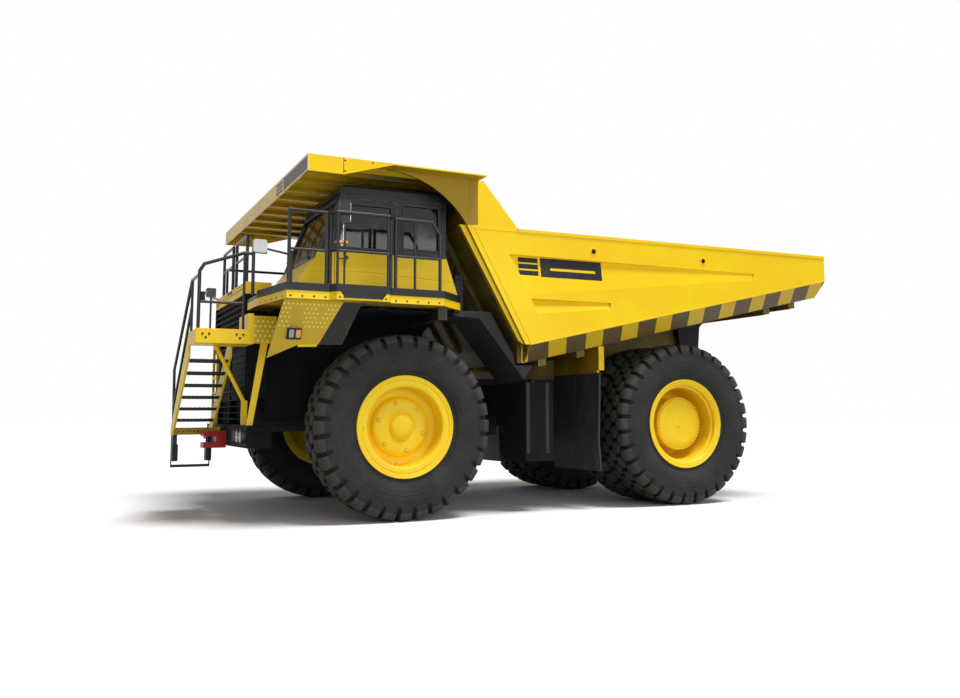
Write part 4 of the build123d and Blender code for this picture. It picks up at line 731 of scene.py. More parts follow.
class Finishes:
    """Every finish of the truck, each made into a material once."""

    YELLOW = Paint("yellow_paint", "yellow_paint")
    WHEEL = Paint("wheel_paint", "yellow_paint", colour=(0.96, 0.68, 0.012),
                  shade=(0.94, 0.62, 0.01), dusty=0.12, mud=0.08, edge_wear_and_highlight_amount=0.2)
    BODY = HazardPaint("body_paint", "yellow_paint", mud=0.0)
    # Darker ochre copy of the yellow, painted shade; its dots are painted shade in holes.
    PUNCHED = PunchedPaint("punched_paint", "ochre_paint", colour=(0.50, 0.32, 0.012),
                           shade=(0.42, 0.26, 0.010), dusty=0.3)
    # Its bright dots are painted light seen through holes.
    DOTTED = PunchedPaint("dotted_paint", "yellow_paint", colour=(0.80, 0.54, 0.006),
                          shade=(0.74, 0.48, 0.006), hole=(0.98, 0.86, 0.35), pitch=0.068)
    HANGER = HangerPaint("hanger_paint", "ochre_paint", colour=(0.90, 0.60, 0.006),
                         shade=(0.85, 0.53, 0.006))
    HEADBOARD = SootAndShadePaint("headboard_paint", "yellow_paint", mud=0.0)
    CANOPY = CanopyPaint("canopy_paint", "yellow_paint", mud=0.0)
    CAB = CabPaint("cab_paint", "yellow_paint", mud=0.0)
    DECK = DeckPaint("deck_paint", "yellow_paint", mud=0.0)
    # Darker ochre copy of the yellow: painted shade of a panel that lies in shade.
    PANEL = PanelPaint("lamp_panel_paint", "ochre_paint", colour=(0.62, 0.42, 0.030),
                       shade=(0.50, 0.32, 0.022), dust=(0.30, 0.20, 0.08), edge_wear_and_highlight=(0.85, 0.66, 0.16),
                       dusty=0.3)
    # Darker ochre copy of the yellow: painted shade.
    OCHRE = Paint("ochre_paint", "ochre_paint", colour=(0.74, 0.48, 0.010),
                  shade=(0.62, 0.38, 0.008), dusty=0.3)
    DARK = Paint("dark_paint", "dark_paint", colour=(0.012, 0.013, 0.014),
                 shade=(0.008, 0.009, 0.010), dust=(0.055, 0.050, 0.044), edge_wear_and_highlight=(0.09, 0.09, 0.09),
                 roughness=0.5, coat=0.0, dusty=0.4, mud=0.4, edge_wear_and_highlight_amount=0.45, shine=0.3)
    ROOF = Paint("roof_paint", "yellow_paint", colour=(0.012, 0.013, 0.014),
                 shade=(0.009, 0.010, 0.011), dust=(0.05, 0.047, 0.04), edge_wear_and_highlight=(0.08, 0.08, 0.08),
                 roughness=0.45, coat=0.0, dusty=0.3, mud=0.0, shine=0.3)
    # Flat black; on the wheel arches, tanks and front bumper it darkens them as painted shade.
    ARCH = Paint("arch_liner", "dark_paint", colour=(0.010, 0.010, 0.011),
                 shade=(0.007, 0.007, 0.008), dust=(0.035, 0.032, 0.03), edge_wear_and_highlight=(0.04, 0.04, 0.04),
                 roughness=0.75, coat=0.0, dusty=0.3, mud=0.3, shine=0.1)
    FENDER = Paint("fender_paint", "dark_paint", colour=(0.022, 0.024, 0.025),
                   shade=(0.016, 0.018, 0.019), dust=(0.07, 0.065, 0.058), edge_wear_and_highlight=(0.1, 0.1, 0.1),
                   roughness=0.55, coat=0.0, dusty=0.4, mud=0.3, shine=0.25)
    RAILS = Paint("rail_paint", "dark_paint", colour=(0.012, 0.012, 0.014),
                  shade=(0.008, 0.008, 0.010), dust=(0.06, 0.055, 0.05), edge_wear_and_highlight=(0.14, 0.13, 0.12),
                  roughness=0.36, coat=0.1, dusty=0.15, mud=0.1, shine=0.35)
    FRAME = Paint("frame_paint", "frame_paint", colour=(0.022, 0.022, 0.024),
                  shade=(0.014, 0.014, 0.016), dust=(0.08, 0.070, 0.058), edge_wear_and_highlight=(0.1, 0.09, 0.08),
                  roughness=0.62, coat=0.0, dusty=0.5, mud=0.5, relief=0.0012, shine=0.2)
    RED = Paint("red_paint", "red_paint", colour=(0.45, 0.012, 0.010), shade=(0.32, 0.008, 0.008),
                dust=(0.20, 0.11, 0.08), edge_wear_and_highlight=(0.6, 0.25, 0.2), mud=0.25)
    IRON = Paint("iron", "iron", colour=(0.05, 0.05, 0.052), shade=(0.03, 0.03, 0.032),
                 dust=(0.12, 0.10, 0.075), edge_wear_and_highlight=(0.2, 0.19, 0.18), roughness=0.6, coat=0.0,
                 dusty=0.45, mud=0.5, relief=0.0022)
    HOUSING = Sheetlike("pale_housing", "trim", colour=(0.62, 0.62, 0.60), scuff=(0.42, 0.41, 0.38),
                        roughness=0.42)
    TYRE = Rubber("tyre_rubber", "tyre_rubber")
    FLAP = Sheetlike("flap_rubber", "flap_rubber")
    TRIM = Sheetlike("trim", "trim", colour=(0.045, 0.045, 0.047), scuff=(0.11, 0.11, 0.11),
                     roughness=0.5, grain=300.0)
    CHROME = Metal("chrome_rod", "chrome_rod")
    STEEL = Metal("zinc_steel", "iron", colour=(0.55, 0.55, 0.54), smear=(0.25, 0.24, 0.22),
                  roughness=0.38)
    MIRROR = Metal("mirror_face", "chrome_rod", colour=(0.86, 0.88, 0.9), roughness=0.05)
    GLASS = Glazing("window", "window")
    LENS = Lens("lamp_lens", "lamp_lens")
    AMBER = Lens("amber_lens", "lamp_lens", colour=(0.95, 0.33, 0.02))
    RUBY = Lens("red_lens", "lamp_lens", colour=(0.6, 0.02, 0.015))
    CLOTH = Cloth("seat_cloth", "seat_cloth")
    _made: dict[str, bpy.types.Material] = {}

    @classmethod
    def material(cls, finish: Finish) -> bpy.types.Material:
        """The material of a finish, made at its first use."""
        if finish.name not in cls._made:
            cls._made[finish.name] = finish.make()
        return cls._made[finish.name]


# ---- surfaces ----------------------------------------------------------------------------
def unit(vectors: Array) -> Array:
    """Vectors brought to length 1."""
    return vectors / np.maximum(np.linalg.norm(vectors, axis=-1, keepdims=True), 1e-12)


def lathe(profile: Array, turns: int) -> Array:
    """Profile of (height, radius) carried round the local Z axis.

    Point (i, j) is (r_j cos a_i, r_j sin a_i, h_j), with a_i the i-th equal step of a full turn.

    Args:
        profile: (n, 2) heights and radii.
        turns: steps round the axis.
    Returns:
        (turns, n, 3) grid that closes round its first direction.
    """
    angle = np.arange(turns) * (2 * math.pi / turns)
    height, radius = np.asarray(profile, float).T
    grid = np.empty((turns, len(height), 3))
    grid[..., 0] = np.cos(angle)[:, None] * radius
    grid[..., 1] = np.sin(angle)[:, None] * radius
    grid[..., 2] = height
    return grid


def slab(outline: Array, depth: float, edge: float) -> Array:
    """Convex outline in the local XY plane given a thickness and rounded edges.

    Each ring is the outline drawn towards its centre by an inset, at its own height: centre, inset,
    full, full, inset, centre. The two centre rings are poles.

    Args:
        outline: (n, 2) points, anticlockwise.
        depth: thickness along the local Z axis.
        edge: size of the rounded edge.
    Returns:
        (n, 6, 3) grid that closes round its first direction.
    """
    outline = np.asarray(outline, float)
    centre = outline.mean(0)
    reach = np.linalg.norm(outline - centre, axis=1, keepdims=True)
    inset = centre + (outline - centre) * (1 - edge / reach)
    rings = [(np.repeat(centre[None], len(outline), 0), 0.0), (inset, 0.0), (outline, edge),
             (outline, depth - edge), (inset, depth),
             (np.repeat(centre[None], len(outline), 0), depth)]
    return np.stack([np.column_stack([ring, np.full(len(ring), h)]) for ring, h in rings], axis=1)


def rounded(width: float, height: float, corner: float) -> Array:
    """Outline of a rectangle whose corners are quarter circles."""
    turn = np.linspace(0, math.pi / 2, 4)
    quarter = np.column_stack([np.cos(turn), np.sin(turn)]) * corner
    spots = [(1, 1, 0.0), (-1, 1, 0.5), (-1, -1, 1.0), (1, -1, 1.5)]
    parts = []
    for sx, sy, spin in spots:
        c, s = math.cos(spin * math.pi), math.sin(spin * math.pi)
        parts.append(quarter @ np.array([[c, s], [-s, c]])
                     + (sx * (width / 2 - corner), sy * (height / 2 - corner)))
    return np.vstack(parts)


def tube(path: Array, radius: Union[float, Array], sides: int = 10) -> Array:
    """Circle carried along a path, square to it.

    The ring at each point lies in the plane of two vectors square to the tangent: the cross product
    of the tangent with a fixed direction, and its cross product with the tangent.

    Args:
        path: (n, 3) points.
        radius: one radius, or one for each point.
        sides: points round the circle.
    Returns:
        (n + 2, sides, 3) grid that closes round its second direction and starts and ends in poles.
    """
    path = np.asarray(path, float)
    tangent = unit(np.gradient(path, axis=0))
    radius = np.broadcast_to(np.asarray(radius, float), len(path))
    path = np.vstack([path[:1], path, path[-1:]])
    tangent = np.vstack([tangent[:1], tangent, tangent[-1:]])
    radius = np.concatenate([[0.0], radius, [0.0]])
    spread = np.abs(tangent).mean(0)
    fixed = np.eye(3)[int(np.argmin(spread))] + 0.01
    across = unit(np.cross(tangent, fixed))
    other = np.cross(tangent, across)
    angle = np.arange(sides) * (2 * math.pi / sides)
    cos, sin = np.cos(angle)[None, :, None], np.sin(angle)[None, :, None]
    circle = cos * across[:, None] + sin * other[:, None]
    return path[:, None] + circle * radius[:, None, None]


def frames(normals: Array) -> Array:
    """Rotation matrices whose Z axes are the normals; X is a fixed direction crossed with them."""
    normals = unit(np.atleast_2d(np.asarray(normals, float)))
    helper = np.where(np.abs(normals[:, 2:3]) < 0.9, [[0.0, 0.0, 1.0]], [[1.0, 0.0, 0.0]])
    across = unit(np.cross(helper, normals))
    return np.stack([across, np.cross(normals, across), normals], axis=2)


def quads_of(index: Array) -> Array:
    """Quads between the neighbouring points of an index grid."""
    corners = [index[:-1, :-1], index[1:, :-1], index[1:, 1:], index[:-1, 1:]]
    return np.stack(corners, axis=-1).reshape(-1, 4)


def ring_of(count: int, radius: float, centre: RGB, side: int, phase: float = 0.0) -> Array:
    """Points evenly round a circle in the plane square to Y."""
    angle = phase + np.arange(count) * (2 * math.pi / count)
    x, y, z = centre
    return np.column_stack([x + radius * np.cos(angle), np.full(count, side * y),
                            z + radius * np.sin(angle)])


class Shell:
    """Vertex grids gathered into one mesh."""

    def __init__(self) -> None:
        """Starts empty."""
        self.points: list[Array] = []
        self.quads: list[Array] = []
        self.fields: dict[str, list[Array]] = {}
        self.count = 0

    def grid(self, points: Array, wrap_u: bool = False, wrap_v: bool = False,
             **fields: Array) -> None:
        """Adds a grid; each point is joined by quads to its neighbours along both directions.

        Args:
            points: (n, m, 3) positions.
            wrap_u: whether the last row joins the first.
            wrap_v: whether the last column joins the first.
            fields: one value for each point, kept as an attribute.
        """
        n, m, _ = points.shape
        index = np.arange(n * m).reshape(n, m) + self.count
        if wrap_u:
            index = np.vstack([index, index[:1]])
        if wrap_v:
            index = np.hstack([index, index[:, :1]])
        self.points.append(points.reshape(-1, 3))
        self.quads.append(quads_of(index))
        for key, value in fields.items():
            self.fields.setdefault(key, []).append(np.broadcast_to(value, (n, m)).ravel())
        self.count += n * m

    def copies(self, shape: Array, places: Union[RGB, Array], normals: Union[RGB, Array]) -> None:
        """Adds the same local grid at many places, its Z axis along each place's normal.

        Args:
            shape: (n, m, 3) local grid that closes round its first direction.
            places: one position, or (k, 3) positions.
            normals: one normal, or one for each place.
        """
        places = np.atleast_2d(places)
        turned = frames(np.broadcast_to(normals, places.shape))
        n, m, _ = shape.shape
        moved = np.einsum("kab,nmb->knma", turned, shape) + places[:, None, None]
        index = np.arange(n * m).reshape(n, m)
        quads = quads_of(np.vstack([index, index[:1]]))
        steps = self.count + np.arange(len(places))[:, None, None] * (n * m)
        self.points.append(moved.reshape(-1, 3))
        self.quads.append((quads[None] + steps).reshape(-1, 4))
        self.count += len(places) * n * m

    def piece(self, name: str, body: str, finish: Finish, replaces: Sequence[str] = (),
              crease: float = 35.0) -> None:
        """Makes the mesh, closes its poles, turns its faces outwards and dresses it.

        Args:
            name: the piece's name.
            body: the CAD body it rides on.
            finish: its finish.
            replaces: CAD nodes it stands for.
            crease: edges sharper than this many degrees stay sharp.
        """
        mesh = bpy.data.meshes.new(name)
        points = np.vstack(self.points).astype(np.float32)
        quads = np.vstack(self.quads)
        mesh.vertices.add(len(points))
        mesh.vertices.foreach_set("co", points.ravel())
        mesh.loops.add(quads.size)
        mesh.loops.foreach_set("vertex_index", quads.ravel().astype(np.int32))
        mesh.polygons.add(len(quads))
        mesh.polygons.foreach_set("loop_start", np.arange(0, quads.size, 4, dtype=np.int32))
        for key, values in self.fields.items():
            layer = mesh.attributes.new(key, "FLOAT", "POINT")
            layer.data.foreach_set("value", np.concatenate(values).astype(np.float32))
        mesh.update(calc_edges=True)
        self.close(mesh)
        mesh.polygons.foreach_set("use_smooth", np.ones(len(mesh.polygons), bool))
        mesh.set_sharp_from_angle(angle=math.radians(crease))
        mesh.materials.append(Finishes.material(finish))
        made = bpy.data.objects.new(name, mesh)
        bpy.context.scene.collection.objects.link(made)
        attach(made, body)
        if replaces:
            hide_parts(*replaces)
        LOG.info("%s: %d faces on %s", name, len(mesh.polygons), body)

    @staticmethod
    def close(mesh: bpy.types.Mesh) -> None:
        """Merges the points of poles and seams and turns every face outwards."""
        work = bmesh.new()
        work.from_mesh(mesh)
        bmesh.ops.remove_doubles(work, verts=work.verts, dist=2e-5)
        bmesh.ops.dissolve_degenerate(work, edges=work.edges, dist=1e-6)
        bmesh.ops.recalc_face_normals(work, faces=work.faces)
        work.to_mesh(mesh)
        work.free()


class Fastener:
    """Local shapes of small hardware, a few dozen faces each, standing on the XY plane."""

    @staticmethod
    def hex_bolt(size: float) -> Array:
        """Six-sided head with a chamfered top: a lathe of six steps."""
        return lathe([(-0.2 * size, 0.0), (-0.2 * size, size * 0.98), (0.5 * size, size),
                      (0.66 * size, size * 0.84), (0.68 * size, 0.0)], 6)

    @staticmethod
    def washer(size: float) -> Array:
        """Flat ring under a head: a lathe of twelve steps."""
        return lathe([(-0.1 * size, 0.0), (-0.1 * size, size * 1.35), (0.12 * size, size * 1.35),
                      (0.18 * size, size * 1.2), (0.18 * size, 0.0)], 12)

    @staticmethod
    def rivet(size: float) -> Array:
        """Low dome: a quarter circle turned about the axis."""
        turn = np.linspace(0, math.pi / 2, 4)
        arc = np.column_stack([np.sin(turn) * size * 0.6, np.cos(turn) * size])
        return lathe(np.vstack([[-0.1 * size, 0.0], [-0.1 * size, size], arc]), 8)

    @classmethod
    def bolts(cls, shell: Shell, places: Array, normals: Union[RGB, Array], size: float) -> None:
        """Washers with hex heads at many places."""
        shell.copies(cls.washer(size), places, normals)
        shell.copies(cls.hex_bolt(size), places, normals)


# ---- wheels ------------------------------------------------------------------------------
@dataclass
class Tyre:
    """A tyre: its section runs from bead to bead and is carried round the axle."""

    x: float
    y: float
    side: Side
    axle: float = 1.33
    lugs: int = 32
    groove_depth: float = 0.062
    zigzag: float = 0.038
    bore: float = 0.632
    # arc lengths from the tread's middle: sidewall rows start, grooves end, blocks start to lean
    wall_start: float = 0.50
    groove_end: float = 0.505
    shoulder: float = 0.27
    blocks: tuple[float, ...] = (0.0, 0.085, 0.15, 0.19, 0.34, 0.5, 0.66, 0.81, 0.85, 0.915)
    filled: tuple[float, ...] = (0.0, 0.0, 0.93, 1.0, 1.0, 1.0, 1.0, 1.0, 0.93, 0.0)

    def half_rows(self) -> Array:
        """Rows of half a tread from its middle outwards.

        Returns:
            Rows of (distance along the tread, shift in pitches, weight of the middle zigzag,
            weight of the outer zigzag, height of the block).
        """
        rows = [
            (0.016, 0.0, 1, 0, 0.0), (0.028, 0.0, 1, 0, 0.93), (0.040, 0.0, 0.95, 0, 1.0),
            (0.086, 0.0, 0.5, 0.5, 1.0), (0.130, 0.0, 0, 0.95, 1.0), (0.142, 0.0, 0, 1, 0.93),
            (0.155, 0.0, 0, 1, 0.0), (0.172, -0.25, 0, 1, 0.0), (0.188, -0.5, 0, 1, 0.0),
            (0.200, -0.5, 0, 1, 0.93), (0.213, -0.5, 0, 0.95, 1.0), (0.245, -0.5, 0, 0.4, 1.0)]
        flat = (0.285, 0.315, 0.345, 0.375, 0.405, 0.435, 0.462, 0.482, 0.494)
        return np.array(rows + [(along, -0.5, 0, 0, 1.0) for along in flat])

    def section(self) -> tuple[Array, Array]:
        """Outer half section from the middle of the tread to the bead.

        Returns:
            Arc lengths, and the (across, radius) points they belong to.
        """
        points = np.array([
            (0.0, 1.330), (0.12, 1.3285), (0.20, 1.325), (0.27, 1.318), (0.312, 1.302),
            (0.338, 1.274), (0.350, 1.235), (0.358, 1.19), (0.363, 1.150), (0.366, 1.135),
            (0.3595, 1.128), (0.363, 1.10), (0.3685, 1.06), (0.3695, 1.02), (0.3685, 0.985),
            (0.3655, 0.965), (0.369, 0.958), (0.3655, 0.950), (0.361, 0.92), (0.352, 0.88),
            (0.338, 0.845), (0.322, 0.82), (0.318, 0.806), (0.300, 0.797), (0.291, 0.785),
            (0.288, 0.76), (0.288, 0.742)])
        length = np.concatenate([[0.0], np.cumsum(np.linalg.norm(np.diff(points, axis=0), axis=1))])
        return length, points

    def build(self, shell: Shell) -> None:
        """Adds this tyre to a shell.

        The grid has a row for each place along the section and a column for each place within the
        pitch. A row is turned by its shift, so blocks of neighbouring rows are staggered, and is
        moved across by a zigzag of the true angle, so the grooves between them zigzag. A point
        sinks by the groove depth times one minus the product of its row's and its column's block
        heights, and the depth fades out down the shoulder.
        """
        length, points = self.section()
        rows = self.half_rows()
        wall = length[length > self.wall_start]
        walls = np.column_stack([wall, np.full(len(wall), -0.5), *np.zeros((2, len(wall))),
                                 np.ones(len(wall))])
        half = np.vstack([rows, walls])
        other = half[::-1] * [-1, -1, 1, -1, 1]
        other[:, 1] += 0.5
        middle = np.array([[0.0, 0.25, 1, 0, 0.0]])
        table = np.vstack([other, middle, half])
        arc, shift, inner, outer, block = table.T
        pitch = 2 * math.pi / self.lugs
        step = (np.arange(self.lugs)[:, None] + np.array(self.blocks)[None]).ravel()
        fill = np.tile(self.filled, self.lugs)
        angle = (step[:, None] + shift[None]) * pitch
        turn = angle / pitch
        wave = 2 * np.abs(turn % 1.0 - 0.5) - 0.5
        across = arc[None] + self.zigzag * wave * (inner[None] - np.abs(outer)[None])
        size = np.abs(across)
        y = np.sign(across) * np.interp(size, length, points[:, 0])
        radius = np.interp(size, length, points[:, 1])
        fade = np.clip((self.groove_end - size) / 0.10, 0.0, 1.0) ** 0.6
        sunk = (1.0 - fill[:, None] * block[None]) * fade
        lean = np.clip((size - self.shoulder) / 0.12, 0.0, 1.0) * (math.pi / 2)
        radius = radius - self.groove_depth * sunk * np.cos(lean * 0.92)
        y = y - np.sign(across) * self.groove_depth * sunk * np.sin(lean * 0.92)
        share = 0.5 + across / (2 * length[-1])
        bore_y = np.array([0.27, 0.15, 0.0, -0.15, -0.27])
        bore_turn = np.linspace(-0.5, 1.0, 7)[1:-1]
        hidden = (step[:, None] + bore_turn[None]) * pitch
        angle = np.hstack([angle, hidden])
        y = np.hstack([y, np.broadcast_to(bore_y, hidden.shape)])
        radius = np.hstack([radius, np.full(hidden.shape, self.bore)])
        sunk = np.hstack([sunk, np.zeros(hidden.shape)])
        share = np.hstack([share, np.full(hidden.shape, 0.5)])
        grid = np.stack([self.x + radius * np.cos(angle), self.side.value * (self.y + y),
                         self.axle + radius * np.sin(angle)], axis=-1)
        shell.grid(grid, wrap_u=True, wrap_v=True, groove=sunk, along=share)


@dataclass
class Rim:
    """A turned wheel, given as a profile of (distance from the truck's middle, radius)."""

    x: float
    side: Side
    profile: Sequence[tuple[float, float]]
    axle: float = 1.33
    turns: int = 112

    def build(self, shell: Shell) -> None:
        """The profile runs from pole to pole and is carried round the axle."""
        grid = lathe(self.profile, self.turns)
        out = np.stack([self.x + grid[..., 0], self.side.value * grid[..., 2],
                        self.axle + grid[..., 1]], axis=-1)
        shell.grid(out, wrap_u=True)


@dataclass
class FrontWheel:
    """Front wheel: tyre, dished rim with its disc and hub cap, bolts and valve."""

    side: Side
    x: float = 2.574
    y: float = 2.162
    axle: float = 1.33
    # count, radius, distance outside the tyre's middle, phase and size of each ring of bolts
    rings: tuple[tuple[int, float, float, float, float], ...] = (
        (6, 0.350, 0.100, 0.28, 0.018), (8, 0.232, 0.100, 0.1, 0.012), (4, 0.10, 0.153, 0.6, 0.009))
    valve_angle: tuple[float, float] = (4.9, 5.1)

    def ring(self, count: int, radius: float, out: float, phase: float) -> Array:
        """Points round the axle, at a distance outside the tyre's middle."""
        return ring_of(count, radius, (self.x, self.y + out, self.axle), self.side.value, phase)

    def profile(self) -> list[tuple[float, float]]:
        """Rim section, from the hub cap's tip round the flanges and back to the hub's bore."""
        outer = [
            (0.160, 0.0), (0.1585, 0.07), (0.153, 0.115), (0.142, 0.148), (0.122, 0.168),
            (0.098, 0.178), (0.086, 0.184), (0.084, 0.198), (0.092, 0.206), (0.100, 0.218),
            (0.102, 0.25), (0.101, 0.31), (0.096, 0.36), (0.085, 0.395), (0.066, 0.415),
            (0.045, 0.422), (0.020, 0.424), (0.0, 0.43), (-0.012, 0.444), (-0.016, 0.48),
            (-0.012, 0.535), (0.0, 0.556), (0.02, 0.564), (0.12, 0.566), (0.255, 0.566),
            (0.276, 0.570), (0.288, 0.580), (0.292, 0.594), (0.293, 0.652), (0.286, 0.660),
            (0.284, 0.668), (0.293, 0.676), (0.301, 0.681), (0.303, 0.694), (0.301, 0.704),
            (0.307, 0.712), (0.310, 0.722), (0.306, 0.731), (0.298, 0.733), (0.291, 0.728),
            (0.289, 0.70), (0.285, 0.640), (0.270, 0.628), (-0.270, 0.628), (-0.285, 0.640),
            (-0.290, 0.728), (-0.300, 0.733), (-0.310, 0.722), (-0.306, 0.61), (-0.290, 0.590),
            (-0.060, 0.586), (-0.040, 0.56), (-0.036, 0.27), (-0.060, 0.255), (-0.332, 0.255),
            (-0.332, 0.1225), (0.058, 0.1225), (0.062, 0.0)]
        return [(self.y + y, r) for y, r in outer]

    def build(self) -> None:
        """Builds the tyre, the rim and the hardware of this side."""
        word, body = self.side.word, f"front_wheel_{self.side.word}"
        shell = Shell()
        Tyre(self.x, self.y, self.side).build(shell)
        shell.piece(f"tyre_front_{word}", body, Finishes.TYRE, [f"front_tyre_{word}"], 32.0)
        shell = Shell()
        Rim(self.x, self.side, self.profile()).build(shell)
        shell.piece(f"rim_front_{word}", body, Finishes.WHEEL, [f"front_rim_{word}"], 40.0)
        out = (0.0, float(self.side.value), 0.0)
        shell = Shell()
        for count, radius, stand, phase, size in self.rings:
            Fastener.bolts(shell, self.ring(count, radius, stand, phase), out, size)
        clip = lathe([(-0.004, 0.0), (-0.004, 0.012), (0.012, 0.012), (0.018, 0.006), (0.018, 0.0)],
                     10)
        shell.copies(clip, self.ring(3, 0.625, 0.293, 4.2), out)
        shell.piece(f"rim_bolts_front_{word}", body, Finishes.WHEEL)
        # Painted shadow: dark rings under the six largest bolts stand for the shadows round their
        # heads.
        shell = Shell()
        count, radius, stand, phase, _ = self.rings[0]
        washer = lathe([(-0.003, 0.0), (-0.003, 0.029), (0.0015, 0.029), (0.0015, 0.0)], 14)
        shell.copies(washer, self.ring(count, radius, stand, phase), out)
        shell.piece(f"rim_bolt_shadows_front_{word}", body, Finishes.TRIM)
        shell = Shell()
        turn = self.valve_angle[0 if self.side is Side.LEFT else 1]
        stem = np.array([(0.575, 0.14), (0.52, 0.17), (0.50, 0.24), (0.505, 0.27)])
        path = np.column_stack([self.x + stem[:, 0] * math.cos(turn),
                                self.side.value * (self.y + stem[:, 1]),
                                self.axle + stem[:, 0] * math.sin(turn)])
        shell.grid(tube(path, 0.008, 8), wrap_v=True)
        shell.piece(f"valve_front_{word}", body, Finishes.STEEL)


@dataclass
class RearWheels:
    """Twin rear wheels on one hub: two tyres, both rims, the final drive's cover and its bolts."""

    side: Side
    x: float = -2.376
    tyres: tuple[float, float] = (1.325, 2.175)
    axle: float = 1.33
    cover: float = 2.300

    def profile(self) -> list[tuple[float, float]]:
        """Section from the cover's middle out round both rims and back to the hub's bore."""
        c = self.cover
        return [
            (c, 0.0), (c, 0.285), (c - 0.004, 0.289), (c - 0.004, 0.297), (c, 0.301), (c, 0.394),
            (c - 0.006, 0.402), (c - 0.018, 0.404), (c - 0.020, 0.434), (c - 0.026, 0.439),
            (c - 0.050, 0.440), (c - 0.054, 0.418), (c - 0.12, 0.414), (c - 0.30, 0.42),
            (1.800, 0.43), (1.782, 0.446), (1.780, 0.50), (1.790, 0.545), (1.815, 0.566),
            (1.90, 0.574), (2.15, 0.586), (2.33, 0.594), (2.375, 0.600), (2.385, 0.612),
            (2.388, 0.634), (2.40, 0.640), (2.452, 0.646), (2.466, 0.654), (2.470, 0.664),
            (2.466, 0.674), (2.474, 0.682), (2.478, 0.694), (2.476, 0.704), (2.482, 0.712),
            (2.485, 0.722), (2.481, 0.731), (2.473, 0.733), (2.466, 0.728), (2.464, 0.70),
            (2.458, 0.640), (2.445, 0.628), (1.895, 0.628), (1.885, 0.640), (1.885, 0.728),
            (1.875, 0.733), (1.865, 0.722), (1.865, 0.622), (1.635, 0.622), (1.635, 0.722),
            (1.625, 0.733), (1.615, 0.728), (1.615, 0.640), (1.600, 0.628), (1.050, 0.628),
            (1.035, 0.640), (1.035, 0.728), (1.025, 0.733), (1.015, 0.722), (1.018, 0.606),
            (1.030, 0.597), (1.70, 0.590), (1.712, 0.56), (1.712, 0.46), (1.70, 0.440),
            (1.055, 0.440), (1.050, 0.435), (1.050, 0.292), (1.745, 0.292), (1.748, 0.0)]

    def build(self) -> None:
        """Builds the tyres, the rims and the hardware of this side."""
        word, body = self.side.word, f"rear_wheels_{self.side.word}"
        for place, y in zip(("inner", "outer"), self.tyres):
            shell = Shell()
            Tyre(self.x, y, self.side).build(shell)
            shell.piece(f"tyre_rear_{place}_{word}", body, Finishes.TYRE, [f"rear_tyres_{word}"],
                        32.0)
        shell = Shell()
        Rim(self.x, self.side, self.profile()).build(shell)
        shell.piece(f"rims_rear_{word}", body, Finishes.WHEEL, [f"rear_rims_{word}"], 40.0)
        out = (0.0, float(self.side.value), 0.0)
        shell = Shell()
        head = lathe([(-0.004, 0.0), (-0.004, 0.0155), (0.022, 0.0155), (0.026, 0.012),
                      (0.026, 0.0)], 6)
        shell.copies(head, ring_of(46, 0.4195, (self.x, self.cover - 0.020, self.axle),
                                   self.side.value), out)
        plug = lathe([(-0.004, 0.0), (-0.004, 0.022), (0.008, 0.022), (0.012, 0.016), (0.012, 0.0)],
                     14)
        face = self.side.value * self.cover
        shell.copies(plug, np.array([(self.x - 0.03, face, self.axle + 0.10),
                                     (self.x + 0.015, face, self.axle - 0.035)]), out)
        shell.piece(f"cover_bolts_{word}", body, Finishes.WHEEL)


# ---- strips ------------------------------------------------------------------------------
def sweep(path: Array, section: Array, up: RGB, closed: bool = False) -> Array:
    """Flat section carried along a path with mitred corners.

    Each section point (a, b) becomes path + a * out + b * up, where out is square to the path and
    to up; at a corner out is the mean of both sides' directions, lengthened by one over the cosine
    of half the turn.

    Args:
        path: (n, 3) points.
        section: (m, 2) points, outwards and upwards.
        up: direction that the section's second axis keeps.
        closed: whether the path closes on itself.
    Returns:
        (n, m, 3) grid that closes round its second direction; an open strip gets pole rings.
    """
    path, section = np.asarray(path, float), np.asarray(section, float)
    up = unit(np.asarray(up, float))
    ahead = unit(np.roll(path, -1, 0) - path)
    if not closed:
        ahead[-1] = ahead[-2]
    behind = np.roll(ahead, 1, 0)
    if not closed:
        behind[0] = ahead[0]
    out_a, out_b = unit(np.cross(ahead, up)), unit(np.cross(behind, up))
    out = unit(out_a + out_b)
    out = out / np.maximum((out * out_a).sum(1, keepdims=True), 0.3)
    grid = path[:, None] + out[:, None] * section[None, :, :1] + up * section[None, :, 1:]
    if closed:
        return grid
    ends = grid.mean(1, keepdims=True).repeat(grid.shape[1], 1)
    return np.concatenate([ends[:1], grid, ends[-1:]])


def strip_section(width: float, height: float, edge: float) -> Array:
    """Rectangle from the path outwards and upwards, its corners cut."""
    w, h, e = width, height, edge
    return np.array([(0, e), (e, 0), (w - e, 0), (w, e), (w, h - e), (w - e, h), (e, h),
                     (0, h - e)])


def panel(shell: Shell, centre: RGB, normal: RGB, width: float, height: float, depth: float,
          corner: float = 0.01) -> None:
    """Adds a rounded plate standing on a surface.

    Args:
        shell: where it goes.
        centre: middle of its back face.
        normal: direction it stands out in.
        width: size across.
        height: size upwards.
        depth: thickness.
        corner: radius of its corners.
    """
    shell.copies(slab(rounded(width, height, corner), depth, min(depth * 0.3, 0.006)), centre,
                 normal)


